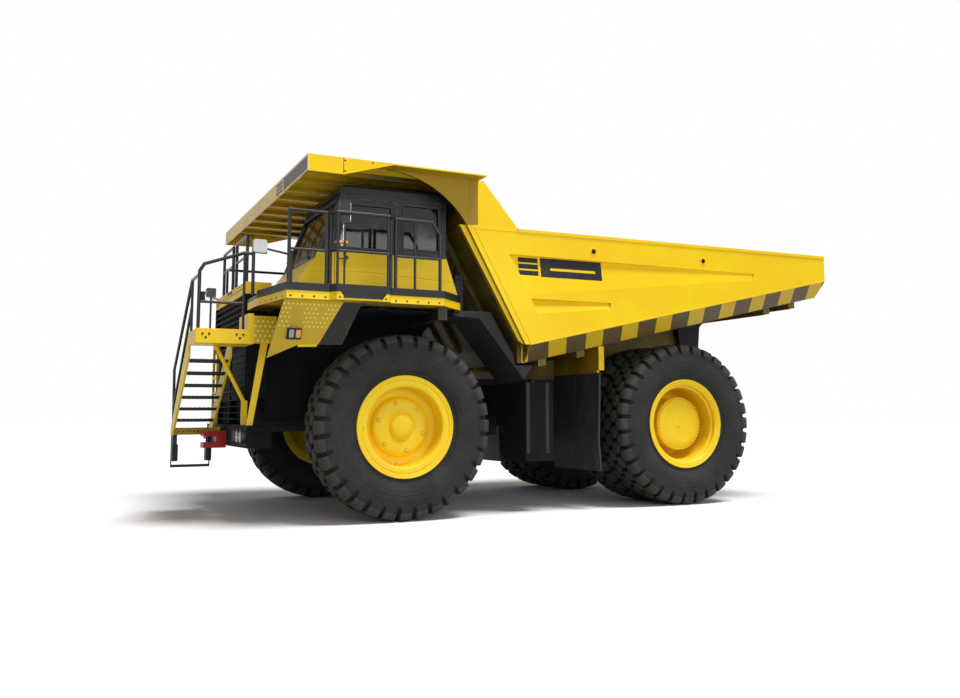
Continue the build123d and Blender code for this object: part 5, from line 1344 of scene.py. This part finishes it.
@dataclass
class WheelArch:
    """Dark liner sheets over both front wheels, out from the frame under the deck, partly painted
    shade.
    """

    back: float = 1.78
    front: float = 4.26
    ribs: int = 13
    # (y, z) along the sheet from its foot to the deck's edge
    line: tuple[tuple[float, float], ...] = (
        (0.96, 2.60), (0.97, 2.68), (1.06, 2.78), (1.30, 2.87), (1.70, 2.93), (2.10, 2.97),
        (2.52, 2.985))
    # (x from, x to, lowest z) of each upright sheet by the frame
    skirts: tuple[tuple[float, float, float], ...] = ((1.70, 2.28, 1.80), (2.90, 4.26, 1.45))
    skirt_y: float = 0.955
    skirt_top: float = 2.67
    sheet: float = 0.012
    reach: float = 2.52

    def build(self) -> None:
        """Each sheet is a closed thin shell; its height ripples along x, as pressed ribs do."""
        line = np.array(self.line)
        along = np.linspace(self.back, self.front, self.ribs * 6)
        ripple = np.cos((along - self.back) * 2 * math.pi * self.ribs / (self.front - self.back))
        ripple = 0.010 * np.clip(ripple * 3, -1, 1)
        cut = np.clip((along - 3.2) / 0.9, 0, 1) * 0.42
        for side in Side:
            shell = Shell()
            both = []
            for lift in (0.0, self.sheet):
                y = np.minimum(line[None, :, 0], self.reach - cut[:, None])
                z = line[None, :, 1] + lift + ripple[:, None]
                x = np.broadcast_to(along[:, None], z.shape)
                both.append(np.stack([x, side.value * y, z], axis=-1))
            shell.grid(np.concatenate([both[0], both[1][:, ::-1]], axis=1), wrap_v=True)
            for start, end, low in self.skirts:
                x, z = np.meshgrid(np.linspace(start, end, 30), np.linspace(low, self.skirt_top, 8),
                                   indexing="ij")
                wave = 0.006 * np.clip(np.cos((x - start) * 16.0) * 3, -1, 1)
                walls = [np.stack([x, side.value * (self.skirt_y + wave + t), z], axis=-1)
                         for t in (0.0, self.sheet)]
                shell.grid(np.concatenate([walls[0], walls[1][:, ::-1]], axis=1), wrap_v=True)
            # The dark sheets fill the wheel wells with painted shade.
            shell.piece(f"wheel_arch_{side.word}", "chassis", Finishes.ARCH)


@dataclass
class LoadBody:
    """Trim of the load body: lifting eyes, weld beads, hinge bolts and corner plates."""

    half: float = 2.752
    eyes: tuple[tuple[float, float], ...] = ((-0.444, 4.043), (-2.617, 4.043))
    # both ends' (x, z), distance outside the wall, radius, its swell and rate, points of each bead
    beads: tuple[tuple, ...] = (
        ((1.62, 4.243), (-5.37, 4.278), -0.001, 0.007, 0.0012, 2.1, 90),
        ((0.70, 2.548), (-5.30, 3.856), -0.001, 0.006, 0.001, 2.4, 80),
        ((0.69, 2.56), (1.63, 4.25), 0.001, 0.007, 0.0, 0.0, 40))
    hinge: RGB = (-3.876, 0.742, 2.35)
    corner_x: float = 0.680

    def build(self) -> None:
        """Builds the pieces that stand on the walls, the hinge lugs and the headboard."""
        rings, bolts, discs, beads = Shell(), Shell(), Shell(), Shell()
        ring = lathe([(-0.004, 0.041), (-0.004, 0.060), (0.007, 0.060), (0.012, 0.052),
                      (0.012, 0.046), (0.005, 0.041), (-0.004, 0.041)], 20)
        disc = lathe([(-0.058, 0.0), (-0.058, 0.0395), (-0.048, 0.0395), (-0.045, 0.0)], 18)
        for side in Side:
            s = side.value
            out = (0.0, float(s), 0.0)
            for x, z in self.eyes:
                place = (x, s * self.half, z)
                rings.copies(ring, place, out)
                discs.copies(disc, place, out)
            for start, end, off, radius, swell, rate, count in self.beads:
                y = s * (self.half + off)
                path = np.linspace((start[0], y, start[1]), (end[0], y, end[1]), count)
                beads.grid(tube(path, radius + swell * np.cos(np.arange(count) * rate), 6),
                           wrap_v=True)
            Fastener.bolts(bolts, ring_of(6, 0.10, self.hinge, s), out, 0.012)
        corner = np.array([(2.40, 2.285), (2.50, 2.285), (2.742, 2.536), (2.742, 2.60),
                           (2.40, 2.60)])
        closing, place = Shell(), (self.corner_x, 0.0, 0.0)
        for outline in (corner, corner[::-1] * [-1, 1]):
            closing.copies(slab(outline, 0.02, 0.002), place, (1, 0, 0))
        closing.piece("corner_plates", "dump_body", Finishes.HEADBOARD)
        rings.piece("lifting_eye_rings", "dump_body", Finishes.YELLOW)
        bolts.piece("hinge_bolts", "dump_body", Finishes.DARK)
        discs.piece("lifting_eyes", "dump_body", Finishes.DARK)
        beads.piece("body_weld_beads", "dump_body", Finishes.YELLOW)


@dataclass
class Deck:
    """Trim of the walkways: kick strips, fascia bolts, step recess and lamp lenses."""

    top: float = 3.2
    left: tuple[tuple[float, float], ...] = (
        (1.730, 2.45), (2.184, 2.90), (2.967, 2.90), (3.037, 3.00), (3.774, 3.00), (3.844, 2.90),
        (4.424, 2.90), (4.578, 1.84))
    right: tuple[tuple[float, float], ...] = ((1.730, -2.45), (2.184, -2.90), (4.218, -2.90),
                                              (4.218, -1.50))
    # start and end (x, y), count and direction of each row of fascia bolts
    rows: tuple[tuple, ...] = (
        ((2.25, 2.90), (2.90, 2.90), 5, (0, 1, 0)), ((3.90, 2.90), (4.37, 2.90), 4, (0, 1, 0)),
        ((3.08, 3.00), (3.14, 3.00), 2, (0, 1, 0)), ((3.67, 3.00), (3.73, 3.00), 2, (0, 1, 0)),
        ((4.445, 2.75), (4.56, 1.95), 5, (0.99, 0.14, 0)),
        ((2.25, -2.90), (4.15, -2.90), 11, (0, -1, 0)),
        ((4.224, -2.80), (4.224, -1.60), 7, (1, 0, 0)))
    row_z: float = 3.075
    curb: float = 0.052
    recess_x: tuple[float, float] = (3.07, 3.72)
    recess_z: tuple[float, float] = (3.066, 3.150)
    head_lamp_y: tuple[float, float] = (1.57, 1.34)
    side_lamp_z: float = 2.595

    def strip(self, shell: Shell, line: Sequence[tuple[float, float]], out: float) -> None:
        """One kick strip along a deck edge, upright and a little outside it."""
        path = np.array([(x, y, self.top - self.curb) for x, y in line])
        section = strip_section(0.012, 0.105, 0.003) * [out, 1.0]
        shell.grid(sweep(path, section, (0, 0, 1)), wrap_v=True)

    def build(self) -> None:
        """Builds the deck's trim on both sides."""
        shell = Shell()
        self.strip(shell, self.left, -1.0)
        self.strip(shell, self.right, 1.0)
        shell.piece("kick_strips", "chassis", Finishes.DARK)
        bolts = Shell()
        for start, end, count, normal in self.rows:
            places = np.linspace((*start, self.row_z), (*end, self.row_z), count)
            Fastener.bolts(bolts, places, normal, 0.011)
        for x in (4.80, 5.26):
            corners = np.array([(x, 1.80, 2.575), (x - 0.045, 1.80, 2.625),
                                (x + 0.045, 1.80, 2.625)])
            Fastener.bolts(bolts, corners, (0, 1, 0), 0.013)
        bolts.piece("deck_bolts", "chassis", Finishes.TRIM)
        self.recess()
        self.lenses()

    def recess(self) -> None:
        """Dark step recess of painted shade in the left fascia: rings of one outline, drawn in and
        moved out.
        """
        (x0, x1), (low, high) = self.recess_x, self.recess_z
        path = np.array([(x0 + 0.06, 3.001, low), (x1 - 0.06, 3.001, low), (x1, 3.001, high),
                         (x0, 3.001, high)])
        middle = path.mean(0)
        rings = ((0, -0.002), (1, -0.002), (1, 0.006), (0.96, 0.009), (0, 0.009))
        shell = Shell()
        shell.grid(np.stack([middle + (path - middle) * k + [0, d, 0] for k, d in rings], axis=1),
                   wrap_u=True)
        shell.piece("step_recess", "chassis", Finishes.DARK)

    def lenses(self) -> None:
        """Lens faces in front of every lamp body, and the folds of the lamp panels."""
        clear, amber, ruby, bezel, fold = (Shell() for _ in range(5))
        lens = lathe([(-0.002, 0.0), (-0.002, 0.078), (0.010, 0.078), (0.020, 0.06), (0.026, 0.03),
                      (0.028, 0.0)], 24)
        rim = lathe([(-0.01, 0.078), (-0.01, 0.094), (0.008, 0.094), (0.014, 0.086), (0.008, 0.078),
                     (-0.01, 0.078)], 24)
        for side in Side:
            s = side.value
            lean = (0.0, s * 0.9187, -0.395)
            y = 2.75 - 0.43 * (3.04 - self.side_lamp_z) + 0.060
            for shell, x in ((clear, 4.2785), (amber, 4.1865)):
                panel(shell, (x, s * y, self.side_lamp_z), lean, 0.066, 0.112, 0.008, 0.012)
            for y in self.head_lamp_y:
                place = (4.710, s * y, 1.205)
                clear.copies(lens, place, (1, 0, 0))
                bezel.copies(rim, place, (1, 0, 0))
            panel(ruby, (-4.171, s * 0.49, 1.935), (-1, 0, 0), 0.15, 0.07, 0.012, 0.01)
            panel(amber, (-4.171, s * 0.49, 1.845), (-1, 0, 0), 0.15, 0.06, 0.012, 0.01)
            line = np.array([(3.90, s * 2.49, 2.455), (4.16, s * 2.49, 2.446)])
            fold.grid(tube(line, 0.022, 12), wrap_v=True)
        panel(clear, (5.252, 1.71, 3.2025), (1, 0, 0), 0.075, 0.105, 0.010, 0.01)
        clear.piece("clear_lenses", "chassis", Finishes.LENS)
        amber.piece("amber_lenses", "chassis", Finishes.AMBER)
        ruby.piece("red_lenses", "chassis", Finishes.RUBY)
        bezel.piece("lamp_bezels", "chassis", Finishes.RAILS)
        fold.piece("lamp_panel_folds", "chassis", Finishes.YELLOW)


@dataclass
class Cab:
    """Trim of the cab: seals, wipers, the door's grip, a grab rod and the mirrors' faces."""

    wall: float = 2.42
    inner_wall: float = 0.48
    screen_foot: tuple[float, float] = (3.914, 3.70)
    screen_top: float = 4.56
    slope: float = -0.375
    tilt: RGB = (1.0, 0.0, 0.375)
    rod: tuple[float, float] = (3.655, 2.875)

    def face(self, z: float) -> float:
        """x of the sloped front at height z."""
        return self.screen_foot[0] + self.slope * (z - self.screen_foot[1])

    def seal(self, shell: Shell, corners: Sequence[RGB], normal: RGB) -> None:
        """Rubber seal round one pane: a small rounded strip along the closed outline."""
        shell.grid(sweep(np.array(corners), strip_section(0.026, 0.014, 0.004) - [0.013, 0.002],
                         normal, True), wrap_u=True, wrap_v=True)

    def build(self) -> None:
        """Builds the seals, wipers, grips and mirrors."""
        self.window_seals()
        self.wipers()
        self.door()
        self.grab_rod()
        self.mirrors()

    def window_seals(self) -> None:
        """Seals round both side windows and the windscreen."""
        seals, w, i = Shell(), self.wall, self.inner_wall
        self.seal(seals, [(2.064, w, 3.90), (2.627, w, 3.90), (2.627, w, 4.56), (2.064, w, 4.56)],
                  (0, 1, 0))
        self.seal(seals, [(2.064, i, 3.90), (3.634, i, 3.90), (3.50, i, 4.56), (2.064, i, 4.56)],
                  (0, -1, 0))
        foot_z, top_z = self.screen_foot[1], self.screen_top
        foot, top = self.face(foot_z), self.face(top_z)
        self.seal(seals, [(foot, 0.56, foot_z), (foot, 2.34, foot_z), (top, 2.34, top_z),
                          (top, 0.56, top_z)], self.tilt)
        seals.piece("window_seals", "chassis", Finishes.TRIM)

    def wipers(self) -> None:
        """Two wipers, each an arm from its pivot to the middle of a blade on the windscreen."""
        shell = Shell()
        pivot = lathe([(-0.01, 0.0), (-0.01, 0.03), (0.03, 0.028), (0.04, 0.018), (0.04, 0.0)], 14)
        blade = strip_section(0.014, 0.022, 0.003) - [0.007, 0.01]
        for y, end in ((1.05, 0.62), (2.02, 1.32)):
            foot = np.array([self.face(3.74) + 0.03, y, 3.74])
            tip = np.array([self.face(4.12) + 0.035, (y + end) / 2 - 0.1, 4.12])
            shell.grid(tube(np.linspace(foot, tip, 12), np.linspace(0.009, 0.006, 12), 8),
                       wrap_v=True)
            low = np.array([self.face(3.86) + 0.03, end, 3.86])
            high = np.array([self.face(4.40) + 0.03, end + 0.25, 4.40])
            shell.grid(sweep(np.linspace(low, high, 6), blade, self.tilt), wrap_v=True)
            shell.copies(pivot, foot - [0.03, 0, 0], self.tilt)
        shell.piece("wipers", "chassis", Finishes.TRIM)

    def door(self) -> None:
        """The door's bow handle on its plate, and the seal round its pane."""
        grip, seal, w = Shell(), Shell(), self.wall
        grip.grid(tube(self.bow((3.50, w, 3.62), (3.50, w, 3.80), 0.05), 0.010, 8), wrap_v=True)
        panel(grip, (3.52, w + 0.001, 3.715), (0, 1, 0), 0.14, 0.05, 0.014, 0.01)
        grip.piece("door_grip", "cab_door", Finishes.TRIM)
        self.seal(seal, [(2.807, w, 3.86), (3.577, w, 3.86), (3.577, w, 4.03), (3.417, w, 4.50),
                         (2.807, w, 4.50)], (0, 1, 0))
        seal.piece("door_seal", "cab_door", Finishes.TRIM)

    def grab_rod(self) -> None:
        """An upright rod with collars and two arms, and the amber foot it stands on."""
        rod, base = Shell(), Shell()
        x, y = self.rod
        rod.grid(tube(np.linspace((x, y, 3.86), (x, y, 4.41), 14), 0.009, 10), wrap_v=True)
        rod.copies(lathe([(-0.012, 0.0), (-0.012, 0.015), (0.012, 0.015), (0.012, 0.0)], 10),
                   np.linspace((x, y, 3.90), (x, y, 4.38), 7), (0, 0, 1))
        for z in (4.39, 3.92):
            rod.grid(tube(np.linspace((x, y, z), (x, y + 0.055, z), 4), 0.008, 8), wrap_v=True)
        panel(base, (x + 0.03, y - 0.045, 3.845), (0, 1, 0), 0.17, 0.032, 0.09, 0.012)
        rod.piece("grab_rod", "chassis", Finishes.CHROME)
        base.piece("grab_rod_base", "chassis", Finishes.AMBER)

    @staticmethod
    def bow(start: RGB, end: RGB, out: float) -> Array:
        """Path of a bow handle: a line pushed out along y by a flattened half wave."""
        t = np.linspace(0.0, 1.0, 17)
        path = np.linspace(start, end, 17)
        path[:, 1] += out * np.minimum(1.0, np.sin(np.pi * t) * 2.2)
        return path

    def mirrors(self) -> None:
        """Rounded pale backs and bright faces on the mirrors' housings."""
        backs, faces, left = Shell(), Shell(), Shell()
        for s, x in ((1, 4.769), (-1, 4.509)):
            panel(backs, (x, s * 2.836, 3.710), (0, s, 0), 0.185, 0.175, 0.022, 0.035)
            panel(faces, (x, s * 2.784, 3.710), (0, -s, 0), 0.165, 0.155, 0.006, 0.03)
        panel(faces, (3.583, 2.91, 4.26), (-1, 0, 0), 0.055, 0.28, 0.006, 0.02)
        panel(left, (3.716, 2.91, 4.26), (1, 0, 0), 0.064, 0.31, 0.020, 0.025)
        backs.piece("mirror_backs", "chassis", Finishes.HOUSING)
        faces.piece("mirror_faces", "chassis", Finishes.MIRROR)
        left.piece("mirror_back_left", "chassis", Finishes.TRIM)


@dataclass
class FrontEnd:
    """Trim of the nose: bolts round the grille and on the bumper, a lower grille, plain plates."""

    front: float = 4.609
    bumper: float = 4.654
    sides: tuple[float, float] = (-1.432, 1.111)

    def build(self) -> None:
        """Builds the bolts, the lower grille and the plates."""
        bolts, grille, plates = Shell(), Shell(), Shell()
        slat = strip_section(0.075, 0.020, 0.004)
        ahead = (1.0, 0.0, 0.0)
        for y in self.sides:
            inner = y + 0.03 if y < 0 else y - 0.03
            row = np.linspace((self.front, inner, 2.62), (self.front, inner, 3.25), 7)
            Fastener.bolts(bolts, row, ahead, 0.011)
        row = np.linspace((self.front, -1.38, 3.445), (self.front, 1.06, 3.445), 13)
        Fastener.bolts(bolts, row, ahead, 0.010)
        for z in (1.10, 1.31):
            for start, end in ((-1.62, -0.30), (0.30, 1.62)):
                row = np.linspace((self.bumper, start, z), (self.bumper, end, z), 7)
                Fastener.bolts(bolts, row, ahead, 0.014)
        for z in np.arange(1.44, 2.54, 0.095):
            bar = np.array([(4.50, -1.38, z), (4.50, 1.05, z)])
            grille.grid(sweep(bar, slat, (0.0, -0.5, 1.0)), wrap_v=True)
        panel(grille, (4.455, -0.165, 1.955), ahead, 2.44, 1.18, 0.02, 0.01)
        for y in (-1.37, -0.165, 1.04):
            panel(grille, (4.47, y, 1.955), ahead, 0.05, 1.18, 0.10, 0.008)
        panel(plates, (self.bumper, 0.78, 1.205), ahead, 0.30, 0.16, 0.008, 0.012)
        panel(plates, (self.front, -0.16, 3.445), ahead, 0.40, 0.045, 0.006, 0.008)
        bolts.piece("front_bolts", "chassis", Finishes.TRIM)
        grille.piece("lower_grille", "chassis", Finishes.ARCH)
        plates.piece("front_plates", "chassis", Finishes.DARK)


@dataclass
class Stair:
    """Stair and landing trim: tread plates, studs, bolts, hanging step, landing edge and side."""

    foot: tuple[float, float] = (-0.40, 1.266)
    head: tuple[float, float] = (1.15, 2.476)
    x: tuple[float, float] = (4.814, 5.361)
    treads: int = 7
    stringer: float = 4.784
    links: tuple[float, float] = (4.835, 5.340)
    landing: float = 2.69

    @staticmethod
    def studded(shell: Shell, xs: Array, ys: Array, z: float, size: float) -> None:
        """Domed studs at every crossing of two sets of lines."""
        xs, ys = np.meshgrid(xs, ys)
        spots = np.column_stack([xs.ravel(), ys.ravel(), np.full(xs.size, z)])
        shell.copies(Fastener.rivet(size), spots, (0, 0, 1))

    def build(self) -> None:
        """Every tread gets a plate, studs and bolts; the landing gets studs, an edge and a side."""
        edge, studs, bolts, plates, first, dotted = (Shell() for _ in range(6))
        near, far = self.x
        plate = slab(rounded(0.234, far - near - 0.004, 0.008), 0.046, 0.006)
        for i in range(self.treads):
            y = self.foot[0] + (self.head[0] - self.foot[0]) * i / self.treads
            z = self.foot[1] + (self.head[1] - self.foot[1]) * i / self.treads
            middle = (sum(self.x) / 2, y, z - 0.030)
            (first if i == 0 else plates).copies(plate, middle, (0, 0, 1))
            self.studded(studs, np.linspace(near + 0.05, far - 0.05, 8), (y - 0.06, y, y + 0.06),
                         z + 0.016, 0.010)
            pair = np.array([(self.stringer, y - 0.05, z - 0.015),
                             (self.stringer, y + 0.05, z - 0.015)])
            Fastener.bolts(bolts, pair, (-1.0, 0, 0), 0.009)
        self.studded(studs, np.linspace(4.75, 5.33, 10), np.linspace(1.20, 1.75, 9), self.landing,
                     0.012)
        edge.grid(tube(np.linspace((4.70, 1.792, 2.692), (5.383, 1.792, 2.692), 3), 0.008, 8),
                  wrap_v=True)
        strap = strip_section(0.030, 0.050, 0.006) - [0.015, 0.025]
        block = slab(rounded(0.20, 0.085, 0.015), 0.26, 0.008)
        for x in self.links:
            for y in (-0.475, -0.325):
                link = np.array([(x, y, 1.24), (x, y, 1.02), (x, y, 0.82)])
                plates.grid(sweep(link, strap, (1, 0, 0)), wrap_v=True)
            plates.copies(block, (x, -0.40, 0.80), (0, 0, 1))
        panel(first, (sum(self.x) / 2, -0.290, 1.262), (0, 1, 0), 0.54, 0.11, 0.006, 0.004)
        panel(dotted, (4.452, 1.7995, 2.71), (0, 1, 0), 0.30, 0.35, 0.006, 0.004)
        dotted.piece("landing_side", "chassis", Finishes.DOTTED)
        edge.piece("landing_edge", "chassis", Finishes.YELLOW)
        plates.piece("tread_plates", "chassis", Finishes.DARK)
        first.piece("first_tread", "chassis", Finishes.PUNCHED)
        studs.piece("tread_studs", "chassis", Finishes.STEEL)
        bolts.piece("stair_bolts", "chassis", Finishes.YELLOW)


@dataclass
class RunningGear:
    """Hardware under the truck: frame bolts, tank straps and caps, hoses and hoist seals."""

    # x, side, lowest z and z at the bend of each tank strap
    straps: tuple[tuple, ...] = ((0.14, 1, 0.90, 1.985), (0.48, 1, 0.90, 1.985),
                                 (0.12, -1, 0.82, 1.995), (0.68, -1, 0.82, 1.995))
    tank: float = 2.305
    caps: tuple[RGB, ...] = ((0.30, 2.05, 1.992), (0.40, -2.05, 1.992))
    rail: float = 0.601
    # first and last x, z and count of each row of bolts on the rails
    rows: tuple[tuple, ...] = ((-3.9, 1.6, 2.05, 24), (1.9, 4.2, 1.55, 12))
    hose_y: float = 0.615
    hose_z: RGB = (1.72, 1.78, 1.84)
    hoist_foot: RGB = (-1.576, 0.79, 0.9)
    hoist_up: RGB = (0.062378, 0.0, 0.998053)
    barrel: float = 1.325

    def build(self) -> None:
        """Builds the pieces on the chassis and on the hoists."""
        bolts, straps, hoses = Shell(), Shell(), Shell()
        for x, s, low, bend in self.straps:
            line = np.array([(x, s * self.tank, low), (x, s * self.tank, bend),
                             (x, s * 0.66, 1.995)])
            section = strip_section(0.006, 0.06, 0.002) * [-s, 1]
            straps.grid(sweep(line, section, (1, 0, 0)), wrap_v=True)
        straps.copies(lathe([(-0.004, 0.0), (-0.004, 0.075), (0.02, 0.075), (0.026, 0.06),
                             (0.05, 0.055), (0.055, 0.045), (0.055, 0.0)], 20), self.caps,
                      (0, 0, 1))
        t = np.linspace(0.0, 1.0, 60)
        for side in Side:
            s = side.value
            for k, z in enumerate(self.hose_z):
                sag = 0.08 * np.sin(np.pi * t) - 0.02 * np.abs(np.sin(10 * np.pi * t))
                path = np.column_stack([-1.2 + 3.1 * t,
                                        s * (self.hose_y + 0.012 * np.sin(9 * t + k)), z + sag])
                hoses.grid(tube(path, 0.014, 8), wrap_v=True)
            for start, end, z, count in self.rows:
                row = np.linspace((start, s * self.rail, z), (end, s * self.rail, z), count)
                Fastener.bolts(bolts, row, (0, s, 0), 0.013)
        bolts.piece("frame_bolts", "chassis", Finishes.FRAME)
        straps.piece("tank_straps", "chassis", Finishes.DARK)
        hoses.piece("frame_hoses", "chassis", Finishes.FLAP)
        self.hoist_seals()

    def hoist_seals(self) -> None:
        """A ring at the top of each hoist's barrel, which it rides on."""
        up = np.array(self.hoist_up)
        ring = lathe([(-0.05, 0.10), (-0.05, 0.108), (-0.004, 0.108), (0.003, 0.104),
                      (0.003, 0.094), (-0.003, 0.092), (-0.05, 0.10)], 28)
        for side in Side:
            top = np.array(self.hoist_foot) * [1, side.value, 1] + up * self.barrel
            shell = Shell()
            shell.copies(ring, top, up)
            shell.piece(f"hoist_seal_{side.word}", f"hoist_barrel_{side.word}", Finishes.STEEL)


ASSEMBLIES: tuple[type, ...] = (WheelArch, LoadBody, Deck, Cab, FrontEnd, Stair, RunningGear)


# ---- dressing of the CAD solids ------------------------------------------------------------
class Dress:
    """Chooses the finish of every CAD node: its slot's, unless the node has its own."""

    BY_SLOT: dict[str, Finish] = {
        "yellow_paint": Finishes.YELLOW, "ochre_paint": Finishes.OCHRE, "dark_paint": Finishes.DARK,
        "frame_paint": Finishes.FRAME, "red_paint": Finishes.RED, "tyre_rubber": Finishes.TYRE,
        "flap_rubber": Finishes.FLAP, "window": Finishes.GLASS, "chrome_rod": Finishes.CHROME,
        "iron": Finishes.IRON, "trim": Finishes.TRIM, "lamp_lens": Finishes.RAILS,
        "seat_cloth": Finishes.CLOTH}
    OWN: dict[Finish, tuple[str, ...]] = {
        Finishes.BODY: ("body_sides", "body_floor"), Finishes.HEADBOARD: ("headboard",),
        Finishes.CANOPY: ("canopy",), Finishes.ROOF: ("cab_roof",),
        Finishes.CAB: ("cab_shell", "cab_door"), Finishes.DECK: ("deck_left", "deck_right"),
        Finishes.PANEL: ("deck_props",), Finishes.HANGER: ("flap_hangers",),
        Finishes.FENDER: ("fenders",),
        Finishes.RAILS: ("deck_handrails", "landing_rails", "mirrors", "lamps"),
        # The flat black on the tanks and bumper is painted shade.
        Finishes.ARCH: ("radiator", "oil_tank", "front_bumper", "fuel_tank", "transmission")}

    @classmethod
    def all(cls) -> None:
        """Puts a finish on each node's own material slots."""
        slots = {part["node"]: part["material_slot"] for part in frame["record"]["subparts"]}
        own = {node: finish for finish, nodes in cls.OWN.items() for node in nodes}
        for node, thing in frame["nodes"].items():
            finish = own.get(node) or cls.BY_SLOT[slots[node]]
            material = Finishes.material(finish)
            if not thing.material_slots:
                thing.data.materials.append(material)
            for held in thing.material_slots:
                held.material = material
        LOG.info("dressed %d CAD nodes", len(frame["nodes"]))


# ---- stage -------------------------------------------------------------------------------
@dataclass
class Studio:
    """Camera, floor and soft light."""

    eye: RGB = (7.262, 14.852, 1.516)
    yaw: float = -116.777
    pitch: float = 6.584
    roll: float = -0.290
    lens: float = 34.37
    shift: tuple[float, float] = (-0.0244, -0.0433)
    sun_from: RGB = (-0.18, 0.30, 0.94)
    sun: float = 3.05
    sky: float = 0.27
    box: float = 560.0
    box_at: RGB = (1.0, 15.0, 4.2)
    box_size: tuple[float, float] = (16.0, 5.0)
    box_aim: RGB = (0.0, 0.0, 2.2)

    def camera(self) -> None:
        """A camera at the eye, looking along yaw and pitch, then rolled about that line."""
        yaw, pitch, roll = (math.radians(v) for v in (self.yaw, self.pitch, self.roll))
        ahead = Vector((math.cos(pitch) * math.cos(yaw), math.cos(pitch) * math.sin(yaw),
                        math.sin(pitch)))
        turn = ahead.to_track_quat("-Z", "Y").to_matrix().to_4x4()
        data = bpy.data.cameras.new("camera")
        data.sensor_width = 36.0
        data.lens = self.lens
        data.shift_x, data.shift_y = self.shift
        data.clip_end = 400.0
        eye = bpy.data.objects.new("camera", data)
        eye.matrix_world = Matrix.Translation(self.eye) @ turn @ Matrix.Rotation(roll, 4, "Z")
        bpy.context.scene.collection.objects.link(eye)
        bpy.context.scene.camera = eye

    def seen(self, g: Graph) -> Socket:
        """1 for rays from the camera, off gloss and through glass."""
        kinds = ("Is Camera Ray", "Is Glossy Ray", "Is Transmission Ray")
        rays = [g.node("ShaderNodeLightPath", {}, {}, kind) for kind in kinds]
        return rays[0].high(rays[1]).high(rays[2])

    def world(self) -> None:
        """White where it is seen, and a soft grey sky as light."""
        world = bpy.data.worlds.new("sky")
        bpy.context.scene.world = world
        g = Graph(world.name, world)
        strength = self.seen(g) * (1.0 - self.sky) + self.sky
        back = g.node("ShaderNodeBackground", {}, {"Color": (1.0, 1.0, 1.0), "Strength": strength})
        end = g.tree.nodes.new("ShaderNodeOutputWorld")
        g.tree.links.new(back.out, end.inputs["Surface"])

    def floor(self) -> None:
        """A wide pale disc whose seen tone is white and which keeps the shadow."""
        g = Graph("floor")
        tone = g.mix(self.seen(g), (0.42, 0.42, 0.42), (0.96, 0.945, 0.94))
        tint = g.noise(g.place(), 0.2, 1.0)
        tone = g.mix(tint * 0.02, tone, (1.0, 1.0, 1.0))
        g.output(g.node("ShaderNodeBsdfDiffuse", {}, {"Color": tone}))
        reach = np.concatenate([[0.0], np.geomspace(4.0, 160.0, 12)])
        grid = lathe(np.column_stack([np.full(len(reach), -0.002), reach]), 96)
        mesh = bpy.data.meshes.new("floor")
        n, m, _ = grid.shape
        index = np.vstack([np.arange(n * m).reshape(n, m), np.arange(m)[None]])
        mesh.from_pydata(grid.reshape(-1, 3).tolist(), [], quads_of(index)[:, ::-1].tolist())
        mesh.materials.append(g.material)
        made = bpy.data.objects.new("floor", mesh)
        bpy.context.scene.collection.objects.link(made)

    @staticmethod
    def hang(data: bpy.types.Light, back: Vector) -> bpy.types.Object:
        """Adds a light whose back is turned to a direction.

        Args:
            data: the light.
            back: direction from what it lights towards it.
        Returns:
            The new object.
        """
        made = bpy.data.objects.new(data.name, data)
        made.rotation_mode = "QUATERNION"
        made.rotation_quaternion = back.to_track_quat("Z", "Y")
        bpy.context.scene.collection.objects.link(made)
        return made

    def lamp(self) -> None:
        """One broad soft sun from high behind the truck's left."""
        data = bpy.data.lights.new("key", "SUN")
        data.energy = self.sun
        data.angle = math.radians(22.0)
        self.hang(data, Vector(self.sun_from))

    def softbox(self) -> None:
        """A wide soft panel of light on the truck's left, hidden from the camera."""
        data = bpy.data.lights.new("softbox", "AREA")
        data.shape = "RECTANGLE"
        data.size, data.size_y = self.box_size
        data.energy = self.box
        made = self.hang(data, Vector(self.box_at) - Vector(self.box_aim))
        made.location = self.box_at
        made.visible_camera = False

    def build(self) -> None:
        """Sets the stage and the plain colour view."""
        bpy.context.scene.view_settings.view_transform = "Standard"
        self.camera()
        self.world()
        self.floor()
        self.lamp()
        self.softbox()


def main() -> None:
    """Builds the stage, dresses the CAD solids and adds each sub-assembly in order."""
    logging.basicConfig(level=logging.INFO, format="%(name)s: %(message)s")
    Studio().build()
    Dress.all()
    for side in Side:
        FrontWheel(side).build()
        RearWheels(side).build()
    for assembly in ASSEMBLIES:
        assembly().build()


if __name__ == "__main__":
    main()
